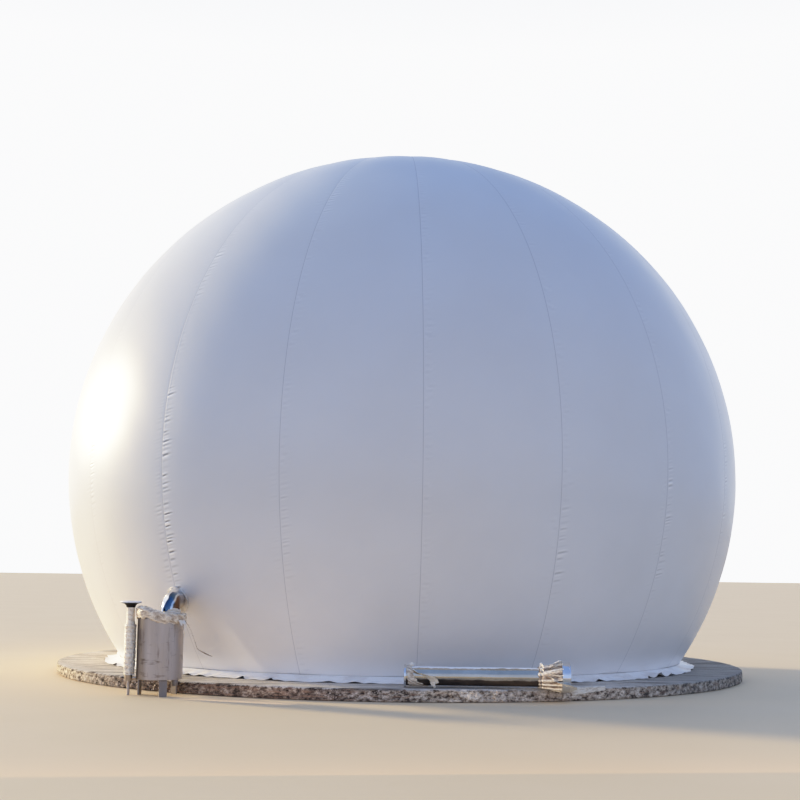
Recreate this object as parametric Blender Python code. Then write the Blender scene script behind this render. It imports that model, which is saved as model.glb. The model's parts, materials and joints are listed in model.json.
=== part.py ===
"""Biogas holder: a three-quarter-sphere double-membrane gas holder on a round concrete slab.

A stainless pressure protector stands in front of the slab and is joined to the membrane by an
elbow. A flanged pipe spool lies on the slab. Metres, +Z up, the ground at z = 0.
"""

import math

import bmesh
import bpy
from mathutils import Matrix, Vector

# Gap left between pieces that touch
GAP = 0.0003

# Concrete foundation
SLAB_RADIUS = 5.035
SLAB_HEIGHT = 0.15
SLAB_CHAMFER = 0.012
SLAB_SEGMENTS = 144

# Outer membrane: an ellipsoid of revolution, cut off just above the slab
MEMBRANE_RADIUS = 5.0
MEMBRANE_RISE = 4.87
MEMBRANE_CENTRE_HEIGHT = 2.925
MEMBRANE_THICKNESS = 0.012
GORE_COUNT = 18
FACETS_PER_GORE = 4
GORE_STEPS = 26
FIRST_SEAM_ANGLE = math.radians(2.8)
CROWN_RADIUS = 0.45
CROWN_STEPS = 3
MEMBRANE_SEGMENTS = GORE_COUNT * FACETS_PER_GORE

# Steel ring that clamps the membrane's foot, and the skirt that covers it
CLAMP_HEIGHT = 0.05
CLAMP_WIDTH = 0.065
SKIRT_TOP_HEIGHT = 0.222
SKIRT_RADIUS = 4.372
SKIRT_EDGE_HEIGHT = 0.007

# Pressure protector: a water-sealed pot
POT_X = -2.865
POT_Y = -4.52
POT_RADIUS = 0.275
POT_WALL = 0.008
POT_BOTTOM = 0.19
POT_TOP = 0.915
POT_EDGE = 0.012
LID_RADIUS = 0.288
LID_THICKNESS = 0.015
LEG_COUNT = 3
LEG_WIDTH = 0.095
LEG_THICKNESS = 0.02
LEG_RING_RADIUS = 0.24
FIRST_LEG_ANGLE = math.radians(-69)
DRAIN_RADIUS = 0.04
DRAIN_LENGTH = 0.075
DRAIN_OFFSET = (0.2, -0.08)

# Vent pipe beside the pot
VENT_X = -3.225
VENT_Y = -4.55
VENT_RADIUS = 0.045
VENT_WALL = 0.004
VENT_BOTTOM = 0.166
VENT_TOP = 1.082
VENT_FLANGE_RADIUS = 0.125
VENT_FLANGE_THICKNESS = 0.022
VENT_LEG_RADIUS = 0.018
VENT_STUB_RADIUS = 0.02
VENT_STUB_HEIGHT = 0.2

# Elbow from the pot's lid to the membrane
ELBOW_X = -2.775
ELBOW_Y = -4.4
ELBOW_RADIUS = 0.109
ELBOW_BEND_RADIUS = 0.15
ELBOW_AXIS_HEIGHT = 1.105
ELBOW_FLANGE_RADIUS = 0.133
ELBOW_FLANGE_THICKNESS = 0.015
BEND_STEPS = 10
PORT_ANGLE = math.radians(-37.2)
PORT_INSET = 0.002
PORT_FLANGE_RADIUS = 0.18
PORT_FLANGE_THICKNESS = 0.02

# Pipe spool lying along the slab's rim, with a small flange on the left and a wide collar on the right
SPOOL_LEFT = (0.055, -4.78)
SPOOL_RIGHT = (2.0, -4.78)
SPOOL_RADIUS = 0.1095
SPOOL_WALL = 0.004
SPOOL_FLANGE_RADIUS = 0.135
SPOOL_FLANGE_THICKNESS = 0.022
SPOOL_COLLAR_RADIUS = 0.18
SPOOL_COLLAR_LENGTH = 0.10

# Packing film: around the pot's rim, the vent pipe, the elbow's foot and the spool's ends
RIM_FILM_BOTTOM = 0.85
RIM_FILM_TOP = 0.98
RIM_FILM_RADIUS = 0.312
RIM_FILM_LAP = 0.004
RIM_FILM_SEGMENTS = 48
HEAP_ANGLE = math.radians(-55)
HEAP_RISE = 0.085
HEAP_BOTTOM_RISE = 0.05
HEAP_LAP = 0.08
VENT_FILM_RADIUS = 0.065
VENT_FILM_BOTTOM = 0.235
VENT_FILM_TOP = 0.85
ELBOW_FILM_RADIUS = 0.130
ELBOW_FILM_HEIGHT = 0.024
SPOOL_FILM_THICKNESS = 0.014
SPOOL_FILM_LENGTH = 0.33
SPOOL_FILM_INSET = 0.03
SPOOL_CONE_THICKNESS = 0.062
SPOOL_CONE_LENGTH = 0.27
TAIL_THICKNESS = 0.008
TAIL_START = math.radians(23.9)
TAIL_END = math.radians(29.4)
TAIL_STEPS = 8
TAIL_ON_TOP = 0.075
TAIL_HANG = 0.065
TAIL_TAPER = 0.6


def clear_scene():
    for item in list(bpy.data.objects):
        bpy.data.objects.remove(item, do_unlink=True)


def make_material(name, colour, roughness, metallic=0.0):
    material = bpy.data.materials.new(name)
    material.use_nodes = True
    shader = material.node_tree.nodes["Principled BSDF"]
    shader.inputs["Base Color"].default_value = (*colour, 1.0)
    shader.inputs["Roughness"].default_value = roughness
    shader.inputs["Metallic"].default_value = metallic
    return material


def finish(name, mesh_data, material, location=(0.0, 0.0, 0.0), rotation=None):
    """Turn a bmesh into a named object with outward faces."""
    bmesh.ops.recalc_face_normals(mesh_data, faces=mesh_data.faces)
    mesh = bpy.data.meshes.new(name)
    mesh_data.to_mesh(mesh)
    mesh_data.free()
    mesh.materials.append(material)
    item = bpy.data.objects.new(name, mesh)
    bpy.context.collection.objects.link(item)
    item.location = location
    if rotation is not None:
        item.rotation_euler = rotation
    return item


def join_rings(mesh_data, first, second):
    """Skin two equal loops of vertices; a loop of one repeated vertex is a pole."""
    count = len(first)
    for i in range(count):
        j = (i + 1) % count
        corners = list(dict.fromkeys([first[i], first[j], second[j], second[i]]))
        if len(corners) > 2:
            mesh_data.faces.new(corners)


def revolve(name, profile, material, segments=48, phase=0.0, ring=False, **placing):
    """Turn (radius, height) points about Z. The profile runs from axis to axis, or is a closed ring."""
    mesh_data = bmesh.new()
    angles = [phase + math.tau * i / segments for i in range(segments)]
    loops = []
    for radius, height in profile:
        if radius == 0.0:
            loops.append([mesh_data.verts.new((0.0, 0.0, height))] * segments)
        else:
            loops.append(
                [mesh_data.verts.new((radius * math.cos(a), radius * math.sin(a), height)) for a in angles]
            )
    for lower, upper in zip(loops, loops[1:]):
        join_rings(mesh_data, lower, upper)
    if ring:
        join_rings(mesh_data, loops[-1], loops[0])
    return finish(name, mesh_data, material, **placing)


def disc_profile(radius, bottom, top):
    return [(0.0, bottom), (radius, bottom), (radius, top), (0.0, top)]


def ring_profile(inner, outer, bottom, top):
    return [(inner, bottom), (outer, bottom), (outer, top), (inner, top)]


def extrude_loops(name, loops, material, ring=False):
    """Skin a row of equal vertex loops; join the last to the first, or close both ends."""
    mesh_data = bmesh.new()
    rows = [[mesh_data.verts.new(point) for point in loop] for loop in loops]
    for first, second in zip(rows, rows[1:]):
        join_rings(mesh_data, first, second)
    if ring:
        join_rings(mesh_data, rows[-1], rows[0])
    else:
        mesh_data.faces.new(rows[0])
        mesh_data.faces.new(rows[-1])
    return finish(name, mesh_data, material)


def azimuth_point(radius, angle, height):
    """A point at an azimuth measured from -Y towards +X."""
    return Vector((radius * math.sin(angle), -radius * math.cos(angle), height))


def meridian_radius(height):
    """The membrane's outer radius at a height."""
    sine = (height - MEMBRANE_CENTRE_HEIGHT) / MEMBRANE_RISE
    return MEMBRANE_RADIUS * math.sqrt(1.0 - sine * sine)


def meridian(inset, start_height, end_radius, steps):
    """Points (radius, height) up the membrane's profile, set in by a distance."""
    radius = MEMBRANE_RADIUS - inset
    rise = MEMBRANE_RISE - inset
    start = math.asin((start_height - MEMBRANE_CENTRE_HEIGHT) / rise)
    end = math.acos(end_radius / radius)
    angles = [start + (end - start) * i / steps for i in range(steps + 1)]
    return [(radius * math.cos(a), MEMBRANE_CENTRE_HEIGHT + rise * math.sin(a)) for a in angles]


def build_slab(material):
    inner = SLAB_RADIUS - SLAB_CHAMFER
    shoulder = SLAB_HEIGHT - SLAB_CHAMFER
    profile = [
        (0.0, 0.0),
        (SLAB_RADIUS, 0.0),
        (SLAB_RADIUS, shoulder),
        (inner, SLAB_HEIGHT),
        (0.0, SLAB_HEIGHT),
    ]
    revolve("foundation_slab", profile, material, SLAB_SEGMENTS)


def build_gore(index, material):
    """One gore: a thin curved strip from the clamp ring to the crown patch."""
    foot = SLAB_HEIGHT + CLAMP_HEIGHT
    outer = meridian(0.0, foot, CROWN_RADIUS, GORE_STEPS)
    inner = meridian(MEMBRANE_THICKNESS, foot, CROWN_RADIUS, GORE_STEPS)
    width = math.tau / GORE_COUNT
    start = FIRST_SEAM_ANGLE + index * width
    loops = []
    for facet in range(FACETS_PER_GORE + 1):
        angle = start + width * facet / FACETS_PER_GORE
        shift = Vector((math.cos(angle), math.sin(angle), 0.0))
        side = (facet == 0) - (facet == FACETS_PER_GORE)
        loop = [azimuth_point(r, angle, z) + shift * side * GAP / 2.0 for r, z in outer]
        loop += [azimuth_point(r, angle, z) + shift * side * GAP / 2.0 for r, z in reversed(inner)]
        loops.append(loop)
    extrude_loops(f"gore_{index + 1:02d}", loops, material)


def build_membrane(material):
    for index in range(GORE_COUNT):
        build_gore(index, material)
    edge = CROWN_RADIUS - GAP
    shoulder = MEMBRANE_RISE * math.sqrt(1.0 - (CROWN_RADIUS / MEMBRANE_RADIUS) ** 2)
    radii = [edge * i / CROWN_STEPS for i in range(CROWN_STEPS, 0, -1)]
    top = [
        (r, MEMBRANE_CENTRE_HEIGHT + MEMBRANE_RISE * math.sqrt(1.0 - (r / MEMBRANE_RADIUS) ** 2))
        for r in radii
    ]
    bottom = [(r, z - MEMBRANE_THICKNESS) for r, z in reversed(top)]
    crown_height = MEMBRANE_CENTRE_HEIGHT + MEMBRANE_RISE
    profile = [(0.0, crown_height - MEMBRANE_THICKNESS)] + bottom + top + [(0.0, crown_height)]
    revolve("crown_patch", profile, material, MEMBRANE_SEGMENTS, ring_phase())


def ring_phase():
    """Angle from +X that lines a ring's facets up with the gores' facets."""
    return FIRST_SEAM_ANGLE - math.pi / 2.0


def build_clamp_ring(material):
    outer = meridian_radius(SLAB_HEIGHT + CLAMP_HEIGHT)
    bottom = SLAB_HEIGHT + GAP
    top = SLAB_HEIGHT + CLAMP_HEIGHT - GAP
    profile = ring_profile(outer - CLAMP_WIDTH, outer, bottom, top)
    revolve("clamp_ring", profile, material, MEMBRANE_SEGMENTS, ring_phase(), ring=True)


def build_skirt(material):
    foot = SLAB_HEIGHT + CLAMP_HEIGHT
    bottom = SLAB_HEIGHT + GAP
    profile = [
        (meridian_radius(foot) + 2 * GAP, bottom),
        (SKIRT_RADIUS, bottom),
        (SKIRT_RADIUS, SLAB_HEIGHT + SKIRT_EDGE_HEIGHT),
        (meridian_radius(SKIRT_TOP_HEIGHT) + 2 * GAP, SKIRT_TOP_HEIGHT),
        (meridian_radius(foot) + 2 * GAP, foot),
    ]
    revolve("skirt_flap", profile, material, MEMBRANE_SEGMENTS, ring_phase(), ring=True)


def build_pot(steel, bare_steel):
    wall = POT_RADIUS - POT_WALL
    floor = POT_BOTTOM + POT_WALL
    profile = [
        (0.0, POT_BOTTOM),
        (POT_RADIUS - POT_EDGE, POT_BOTTOM),
        (POT_RADIUS, POT_BOTTOM + POT_EDGE),
        (POT_RADIUS, POT_TOP),
        (wall, POT_TOP),
        (wall, floor + POT_EDGE),
        (wall - POT_EDGE, floor),
        (0.0, floor),
    ]
    at_pot = (POT_X, POT_Y, 0.0)
    revolve("pot_body", profile, steel, location=at_pot)
    lid_bottom = POT_TOP + GAP
    lid = disc_profile(LID_RADIUS, lid_bottom, lid_bottom + LID_THICKNESS)
    revolve("pot_lid", lid, steel, location=at_pot)
    for index in range(LEG_COUNT):
        build_leg(index, bare_steel)
    drain_top = POT_BOTTOM - GAP
    drain = disc_profile(DRAIN_RADIUS, drain_top - DRAIN_LENGTH, drain_top)
    at_drain = (POT_X + DRAIN_OFFSET[0], POT_Y + DRAIN_OFFSET[1], 0.0)
    revolve("drain_stub", drain, bare_steel, 24, location=at_drain)


def build_leg(index, material):
    angle = FIRST_LEG_ANGLE + index * math.tau / LEG_COUNT
    height = POT_BOTTOM - GAP
    mesh_data = bmesh.new()
    bmesh.ops.create_cube(mesh_data, size=1.0)
    bmesh.ops.scale(mesh_data, vec=(LEG_THICKNESS, LEG_WIDTH, height), verts=mesh_data.verts)
    place = (
        POT_X + LEG_RING_RADIUS * math.cos(angle),
        POT_Y + LEG_RING_RADIUS * math.sin(angle),
        height / 2.0,
    )
    finish(f"pot_leg_{index + 1}", mesh_data, material, place, (0.0, 0.0, angle))


def build_vent(steel):
    at_vent = (VENT_X, VENT_Y, 0.0)
    bore = VENT_RADIUS - VENT_WALL
    pipe = [
        (0.0, VENT_BOTTOM),
        (VENT_RADIUS, VENT_BOTTOM),
        (VENT_RADIUS, VENT_TOP + VENT_FLANGE_THICKNESS),
        (bore, VENT_TOP + VENT_FLANGE_THICKNESS),
        (bore, VENT_BOTTOM + VENT_WALL),
        (0.0, VENT_BOTTOM + VENT_WALL),
    ]
    revolve("vent_pipe", pipe, steel, 32, location=at_vent)
    flange = ring_profile(
        VENT_RADIUS + GAP, VENT_FLANGE_RADIUS, VENT_TOP, VENT_TOP + VENT_FLANGE_THICKNESS
    )
    revolve("vent_flange", flange, steel, 48, ring=True, location=at_vent)
    leg = disc_profile(VENT_LEG_RADIUS, 0.0, VENT_BOTTOM - GAP)
    revolve("vent_leg", leg, steel, 16, location=at_vent)
    to_pot = Vector((POT_X - VENT_X, POT_Y - VENT_Y, 0.0))
    length = to_pot.length - POT_RADIUS - VENT_RADIUS - 4 * GAP
    stub = disc_profile(VENT_STUB_RADIUS, 0.0, length)
    start = Vector((VENT_X, VENT_Y, VENT_STUB_HEIGHT)) + to_pot.normalized() * (VENT_RADIUS + 2 * GAP)
    turn = Vector((0.0, 0.0, 1.0)).rotation_difference(to_pot).to_euler()
    revolve("vent_stub", stub, steel, 16, location=start, rotation=turn)


def port_frame():
    """The point on the membrane where the elbow goes in, and the outward direction there."""
    radius = meridian_radius(ELBOW_AXIS_HEIGHT)
    point = azimuth_point(radius - PORT_INSET, PORT_ANGLE, ELBOW_AXIS_HEIGHT)
    slope = (ELBOW_AXIS_HEIGHT - MEMBRANE_CENTRE_HEIGHT) / MEMBRANE_RISE**2
    outward = azimuth_point(radius / MEMBRANE_RADIUS**2, PORT_ANGLE, slope)
    return point, outward.normalized()


def build_port_flange(material):
    point, outward = port_frame()
    flange = disc_profile(PORT_FLANGE_RADIUS, GAP, GAP + PORT_FLANGE_THICKNESS)
    turn = Vector((0.0, 0.0, 1.0)).rotation_difference(outward).to_euler()
    revolve("port_flange", flange, material, location=point, rotation=turn)


def build_elbow(polished, steel):
    """A tight bend that rises from the lid and runs level to the port on the membrane."""
    flange_bottom = POT_TOP + LID_THICKNESS + 2 * GAP
    flange_top = flange_bottom + ELBOW_FLANGE_THICKNESS
    flange = disc_profile(ELBOW_FLANGE_RADIUS, flange_bottom, flange_top)
    revolve("elbow_flange", flange, steel, location=(ELBOW_X, ELBOW_Y, 0.0))

    port, outward = port_frame()
    port_face = port + outward * (2 * GAP + PORT_FLANGE_THICKNESS)
    foot = Vector((ELBOW_X, ELBOW_Y, flange_top + GAP))
    level = Vector((port.x - ELBOW_X, port.y - ELBOW_Y, 0.0)).normalized()
    up = Vector((0.0, 0.0, 1.0))
    side = level.cross(up)
    bend_start = Vector((ELBOW_X, ELBOW_Y, ELBOW_AXIS_HEIGHT - ELBOW_BEND_RADIUS))
    stations = [(foot, level)]
    for step in range(BEND_STEPS + 1):
        turn = math.pi / 2.0 * step / BEND_STEPS
        centre = bend_start + level * ELBOW_BEND_RADIUS * (1.0 - math.cos(turn))
        centre += up * ELBOW_BEND_RADIUS * math.sin(turn)
        inner_way = level * math.cos(turn) - up * math.sin(turn)
        stations.append((centre, inner_way))
    loops = [ring_of_points(centre, side, inner_way, ELBOW_RADIUS) for centre, inner_way in stations]
    last_loop = []
    for point in loops[-1]:
        distance = (port_face - point).dot(outward) / level.dot(outward)
        last_loop.append(point + level * distance)
    loops.append(last_loop)
    extrude_loops("elbow", loops, polished)


def ring_of_points(centre, first_way, second_way, radius, segments=36):
    points = []
    for i in range(segments):
        angle = math.tau * i / segments
        points.append(centre + first_way * radius * math.cos(angle) + second_way * radius * math.sin(angle))
    return points


def spool_frame():
    """The spool's left end on its axis, its rotation, and its length."""
    left = Vector((*SPOOL_LEFT, SLAB_HEIGHT + GAP + SPOOL_FLANGE_RADIUS))
    right = Vector((*SPOOL_RIGHT, left.z))
    axis = right - left
    turn = (0.0, math.pi / 2.0, math.atan2(axis.y, axis.x))
    return left, turn, axis.length


def build_spool(polished):
    left, turn, length = spool_frame()
    placing = {"location": left, "rotation": turn}
    pipe = ring_profile(SPOOL_RADIUS - SPOOL_WALL, SPOOL_RADIUS, 0.0, length)
    revolve("spool_pipe", pipe, polished, ring=True, **placing)
    ends = (
        ("spool_flange_left", 0.0, SPOOL_FLANGE_THICKNESS, SPOOL_FLANGE_RADIUS),
        ("spool_flange_right", length - SPOOL_COLLAR_LENGTH, length, SPOOL_COLLAR_RADIUS),
    )
    for name, start, end, radius in ends:
        revolve(name, ring_profile(SPOOL_RADIUS + GAP, radius, start, end), polished, ring=True, **placing)


def rim_film_section(angle):
    """The film's section at one azimuth of the pot; it is heaped up on one side of the lid."""
    heap = max(0.0, math.cos(angle - HEAP_ANGLE)) ** 1.5
    bottom = RIM_FILM_BOTTOM + HEAP_BOTTOM_RISE * heap
    top = RIM_FILM_TOP + HEAP_RISE * heap
    inner = LID_RADIUS - RIM_FILM_LAP - HEAP_LAP * heap
    over_lid = POT_TOP + LID_THICKNESS + GAP
    under_lid = POT_TOP - GAP
    section = [
        (POT_RADIUS + GAP, bottom),
        (RIM_FILM_RADIUS - 0.02, bottom),
        (RIM_FILM_RADIUS, bottom + 0.05),
        (RIM_FILM_RADIUS, top - 0.02),
        (RIM_FILM_RADIUS - 0.01, top),
        (inner, top),
        (inner, over_lid),
        (LID_RADIUS + GAP, over_lid),
        (LID_RADIUS + GAP, under_lid),
        (POT_RADIUS + GAP, under_lid),
    ]
    centre = Vector((POT_X, POT_Y, 0.0))
    return [centre + azimuth_point(radius, angle, height) for radius, height in section]


def build_pot_films(film):
    angles = [math.tau * i / RIM_FILM_SEGMENTS for i in range(RIM_FILM_SEGMENTS)]
    extrude_loops("pot_rim_film", [rim_film_section(angle) for angle in angles], film, ring=True)
    sleeve = ring_profile(VENT_RADIUS + GAP, VENT_FILM_RADIUS, VENT_FILM_BOTTOM, VENT_FILM_TOP)
    revolve("vent_film", sleeve, film, 32, ring=True, location=(VENT_X, VENT_Y, 0.0))
    bottom = POT_TOP + LID_THICKNESS + ELBOW_FLANGE_THICKNESS + 3 * GAP
    collar = ring_profile(ELBOW_RADIUS + 0.009, ELBOW_FILM_RADIUS, bottom, bottom + ELBOW_FILM_HEIGHT)
    revolve("elbow_film", collar, film, ring=True, location=(ELBOW_X, ELBOW_Y, 0.0))


def build_spool_films(film):
    """A sleeve beside the small flange, and a cone from the pipe up to the wide collar."""
    left, turn, length = spool_frame()
    placing = {"location": left, "rotation": turn}
    inner = SPOOL_RADIUS + GAP
    outer = inner + SPOOL_FILM_THICKNESS
    sleeve = ring_profile(inner, outer, SPOOL_FILM_INSET, SPOOL_FILM_INSET + SPOOL_FILM_LENGTH)
    revolve("spool_film_left", sleeve, film, ring=True, **placing)
    cone_end = length - SPOOL_COLLAR_LENGTH - GAP
    cone_start = cone_end - SPOOL_CONE_LENGTH
    cone = [
        (inner, cone_start),
        (outer, cone_start),
        (inner + SPOOL_CONE_THICKNESS, cone_end),
        (inner, cone_end),
    ]
    revolve("spool_film_right", cone, film, ring=True, **placing)


def build_film_tail(film):
    """A strip of film draped over the slab's rim, from beside the spool's collar to the right."""
    bottom = SLAB_HEIGHT + GAP
    top = bottom + TAIL_THICKNESS
    inside = SLAB_RADIUS + 2 * GAP
    outside = inside + TAIL_THICKNESS
    loops = []
    for step in range(TAIL_STEPS + 1):
        share = step / TAIL_STEPS
        angle = TAIL_START + (TAIL_END - TAIL_START) * share
        narrowed = 1.0 - TAIL_TAPER * share
        end_on_top = SLAB_RADIUS - TAIL_ON_TOP * narrowed
        low = bottom - TAIL_HANG * narrowed
        section = [
            (end_on_top, bottom),
            (end_on_top, top),
            (outside, top),
            (outside, low),
            (inside, low),
            (inside, bottom),
        ]
        loops.append([azimuth_point(radius, angle, height) for radius, height in section])
    extrude_loops("film_tail", loops, film)


def main():
    clear_scene()
    concrete = make_material("concrete", (0.42, 0.39, 0.35), 0.9)
    membrane = make_material("membrane", (0.78, 0.78, 0.79), 0.45)
    galvanised = make_material("galvanised_steel", (0.55, 0.56, 0.57), 0.5, 1.0)
    stainless = make_material("stainless_steel", (0.56, 0.55, 0.54), 0.35, 1.0)
    polished = make_material("polished_steel", (0.72, 0.73, 0.75), 0.08, 1.0)
    film = make_material("packing_film", (0.82, 0.80, 0.76), 0.3)
    build_slab(concrete)
    build_membrane(membrane)
    build_clamp_ring(galvanised)
    build_skirt(membrane)
    build_pot(stainless, galvanised)
    build_vent(stainless)
    build_port_flange(stainless)
    build_elbow(polished, stainless)
    build_spool(polished)
    build_pot_films(film)
    build_spool_films(film)
    build_film_tail(film)


main()
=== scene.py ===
"""Looks of the biogas holder: membrane, skirt, slab, pressure protector, pipe spool and film."""

import json
import math

import bpy
import numpy as np
from mathutils import Matrix, Vector


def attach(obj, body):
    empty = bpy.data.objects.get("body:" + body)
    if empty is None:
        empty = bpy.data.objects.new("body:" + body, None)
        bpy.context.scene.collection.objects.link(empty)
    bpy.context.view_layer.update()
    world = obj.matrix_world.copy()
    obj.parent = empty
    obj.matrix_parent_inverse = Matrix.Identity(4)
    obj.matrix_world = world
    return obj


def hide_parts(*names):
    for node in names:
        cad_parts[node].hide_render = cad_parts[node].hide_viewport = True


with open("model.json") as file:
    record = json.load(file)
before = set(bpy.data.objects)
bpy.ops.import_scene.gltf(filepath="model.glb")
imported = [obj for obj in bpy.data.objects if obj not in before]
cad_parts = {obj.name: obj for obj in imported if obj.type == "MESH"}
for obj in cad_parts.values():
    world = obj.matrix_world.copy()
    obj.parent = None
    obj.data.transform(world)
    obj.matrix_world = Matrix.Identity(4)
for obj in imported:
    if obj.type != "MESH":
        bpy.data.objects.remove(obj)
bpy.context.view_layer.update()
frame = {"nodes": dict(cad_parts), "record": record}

# Camera, solved from the outline, the seams and the slab's rim
IMAGE_SIZE = 800
FOCAL_PIXELS = 1383.6
SENSOR_WIDTH = 36.0
CAMERA_LOCATION = (0.0, -21.305, 1.54)
CAMERA_YAW = math.radians(-0.12)
CAMERA_PITCH = math.radians(6.92)
CAMERA_ROLL = math.radians(0.76)

# Light: one warm sun low on the left, slightly behind, and a sky that is white behind the holder and
# cool in front of it and above. A fill light is its place, aim, size, power and colour; a spot is its
# place, aim, cone in degrees and power.
SUN_AZIMUTH = math.radians(-122.6)
SUN_ELEVATION = math.radians(12.5)
SUN_STRENGTH = 4.45
SUN_COLOUR = (1.0, 0.83, 0.49)
SUN_ANGLE = math.radians(7.0)
WHITE_SKY = (1.30, 1.31, 1.33)
WHITE_SKY_EDGE = (0.6, 0.88)
COOL_SKY = (0.49, 0.62, 0.93)
TOP_SKY = (0.25, 0.39, 0.74)
TOP_SKY_EDGE = (0.36, 0.66)
GLOW_DIRECTION = (-0.55, 0.42, 0.72)
GLOW_EDGE = 0.80
GLOW_SKY = (1.05, 1.07, 1.12)
WARM_FILL = ((1.4, -10.5, 0.35), (0.0, 0.0, 1.2), (14.0, 1.5), 24.0, (1.0, 0.62, 0.28))
FOOT_FILL = ((-1.9, -5.25, 0.10), (0.0, 0.0, 0.3), (1.4, 0.15), 1.4, (1.0, 0.80, 0.58))
SPOT_COLOUR = (1.0, 0.86, 0.66)
SPOT_BLEND = 0.6
SPOT_LAMP_RADIUS = 0.12
POT_SPOT = ((-6.9, -5.6, 1.2), (-3.15, -4.60, 0.60), 14.0, 170.0)
SPOOL_SPOT = ((-4.5, -6.6, 0.5), (1.95, -4.88, 0.22), 7.0, 1800.0)

# Floor, and the tone curve as pairs of light and shown value
FLOOR_SIZE = 400.0
FLOOR_DROP = 0.002
FLOOR_DARK = (0.79, 0.62, 0.40)
FLOOR_PALE = (0.81, 0.64, 0.42)
TONE_WHITE = 1.6
TONE_POINTS = ((0.3, 0.3), (0.6, 0.6), (0.8, 0.765), (1.0, 0.875), (1.25, 0.95))

# Foundation
SLAB_RADIUS = 5.035
SLAB_HEIGHT = 0.15
SLAB_SEGMENTS = 1440
SLAB_ROUGHNESS = 0.012

# Membrane, the same ellipsoid as the CAD gores
MEMBRANE_RADIUS = 5.0
MEMBRANE_RISE = 4.87
MEMBRANE_CENTRE_HEIGHT = 2.925
MEMBRANE_FOOT = 0.201
GORE_COUNT = 18
GORE_ANGLE = math.tau / GORE_COUNT
FIRST_SEAM_ANGLE = math.radians(2.8)
CROWN_RADIUS = 0.45
CROWN_LAP = 0.06
CROWN_LIFT = 0.002
CROWN_EDGE_DIP = 0.006
GORE_START = math.asin((MEMBRANE_FOOT - MEMBRANE_CENTRE_HEIGHT) / MEMBRANE_RISE)
GORE_END = math.acos(CROWN_RADIUS / MEMBRANE_RADIUS)
GORE_LENGTH = MEMBRANE_RADIUS * (GORE_END - GORE_START)

# A gore's surface: drawn in at its seams, grooved along them and a little wavy. Its columns are given
# as shares of its width, up to the middle.
PILLOW_DEPTH = 0.006
GROOVE_DEPTH = 0.001
GROOVE_WIDTH = 0.010
WAVE_DEPTH = 0.002
WAVELENGTHS = (0.9, 1.7, 2.9)
PROFILE_SAMPLES = 4000
ROW_SPACING = 0.03
PUCKERED_ROW_SPACING = 0.0065
HALF_COLUMNS = (0.0, 0.003, 0.008, 0.015, 0.024, 0.036, 0.052, 0.075, 0.105, 0.15, 0.22, 0.31, 0.40)

# Puckers to the right of a seam: seam number, lowest height, highest height, strength
PUCKERS = (
    (16, 1.1, 2.5, 1.35),
    (16, 2.3, 3.9, 0.7),
    (16, 4.8, 5.9, 0.3),
    (17, 5.9, 7.0, 0.3),
    (17, 1.3, 2.8, 0.2),
    (1, 1.1, 2.4, 0.35),
    (2, 1.2, 3.1, 0.32),
    (3, 1.9, 3.6, 0.30),
    (15, 2.2, 3.4, 0.5),
)
EVERYWHERE_PUCKERS = 0.08
PUCKER_DEPTH = 0.006
PUCKER_REACH = 0.165
PUCKER_SPACING = (0.035, 0.105)
PUCKER_WIDTH = (0.011, 0.017)
PUCKER_FADE = 0.3
PUCKER_SLANT = 0.22
FAR_SIDE_SHARE = 0.2

# Skirt flap, and where it stands off the slab: azimuth in degrees, half width, height, reach outwards
SKIRT_TOP = 0.222
SKIRT_EDGE = 4.372
SKIRT_STANDOFF = 0.003
SKIRT_WANDER = 0.012
SKIRT_FRAY = 0.010
SKIRT_RUFFLE = 0.008
SKIRT_FAR_RUFFLE = 0.018
SKIRT_FOLD = 0.004
SKIRT_COLUMNS = 1440
SKIRT_ROWS = 14
SKIRT_LIFTS = (
    (-98.0, 2.4, 0.055, 0.05),
    (-88.0, 1.6, 0.020, 0.02),
    (-76.6, 1.5, 0.028, 0.0),
    (-63.9, 1.7, 0.034, -0.03),
    (-56.0, 1.1, 0.018, 0.02),
    (-40.0, 0.9, 0.020, -0.06),
    (-37.8, 1.1, 0.024, 0.0),
    (-26.7, 0.8, 0.032, -0.07),
    (-21.2, 0.7, 0.028, -0.06),
    (-11.3, 1.2, 0.018, 0.0),
    (35.4, 0.7, 0.016, -0.03),
    (48.3, 0.6, 0.030, -0.02),
    (51.8, 1.5, 0.060, 0.0),
    (55.6, 0.8, 0.038, 0.03),
    (66.0, 1.0, 0.012, 0.0),
    (76.6, 1.6, 0.030, 0.0),
)

# Pressure protector: pot, vent pipe beside it, elbow to the membrane
SEATING = 0.0003
POT_PLACE = (-2.865, -4.52)
POT_RADIUS = 0.275
POT_BOTTOM = 0.19
POT_TOP = 0.915
POT_SEAM_HEIGHT = 0.62
POT_WELD_ANGLE = math.radians(-80)
LID_RADIUS = 0.288
LID_BOTTOM = POT_TOP + SEATING
LID_TOP = LID_BOTTOM + 0.015
LEG_ANGLE = math.radians(-69)
LEG_RING_RADIUS = 0.24
LEG_WIDTH = 0.095
LEG_THICKNESS = 0.02
DRAIN_OFFSET = (0.2, -0.08)
DRAIN_RADIUS = 0.04
DRAIN_LENGTH = 0.075
DRAIN_THREAD = 0.02
DRAIN_DEPTH = 0.04
DRAIN_WALL = 0.008
VENT_PLACE = (-3.225, -4.55)
VENT_RADIUS = 0.045
VENT_WALL = 0.004
VENT_BOTTOM = 0.166
VENT_TOP = 1.082
VENT_DEPTH = 0.4
VENT_FLANGE_RADIUS = 0.125
VENT_FLANGE_THICKNESS = 0.022
ELBOW_PLACE = (-2.775, -4.4)
ELBOW_RADIUS = 0.109
ELBOW_BEND_RADIUS = 0.15
ELBOW_STEPS = 40
ELBOW_WELD = 0.0015
ELBOW_AXIS_HEIGHT = 1.105
ELBOW_FOOT = LID_TOP + 0.0156
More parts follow.
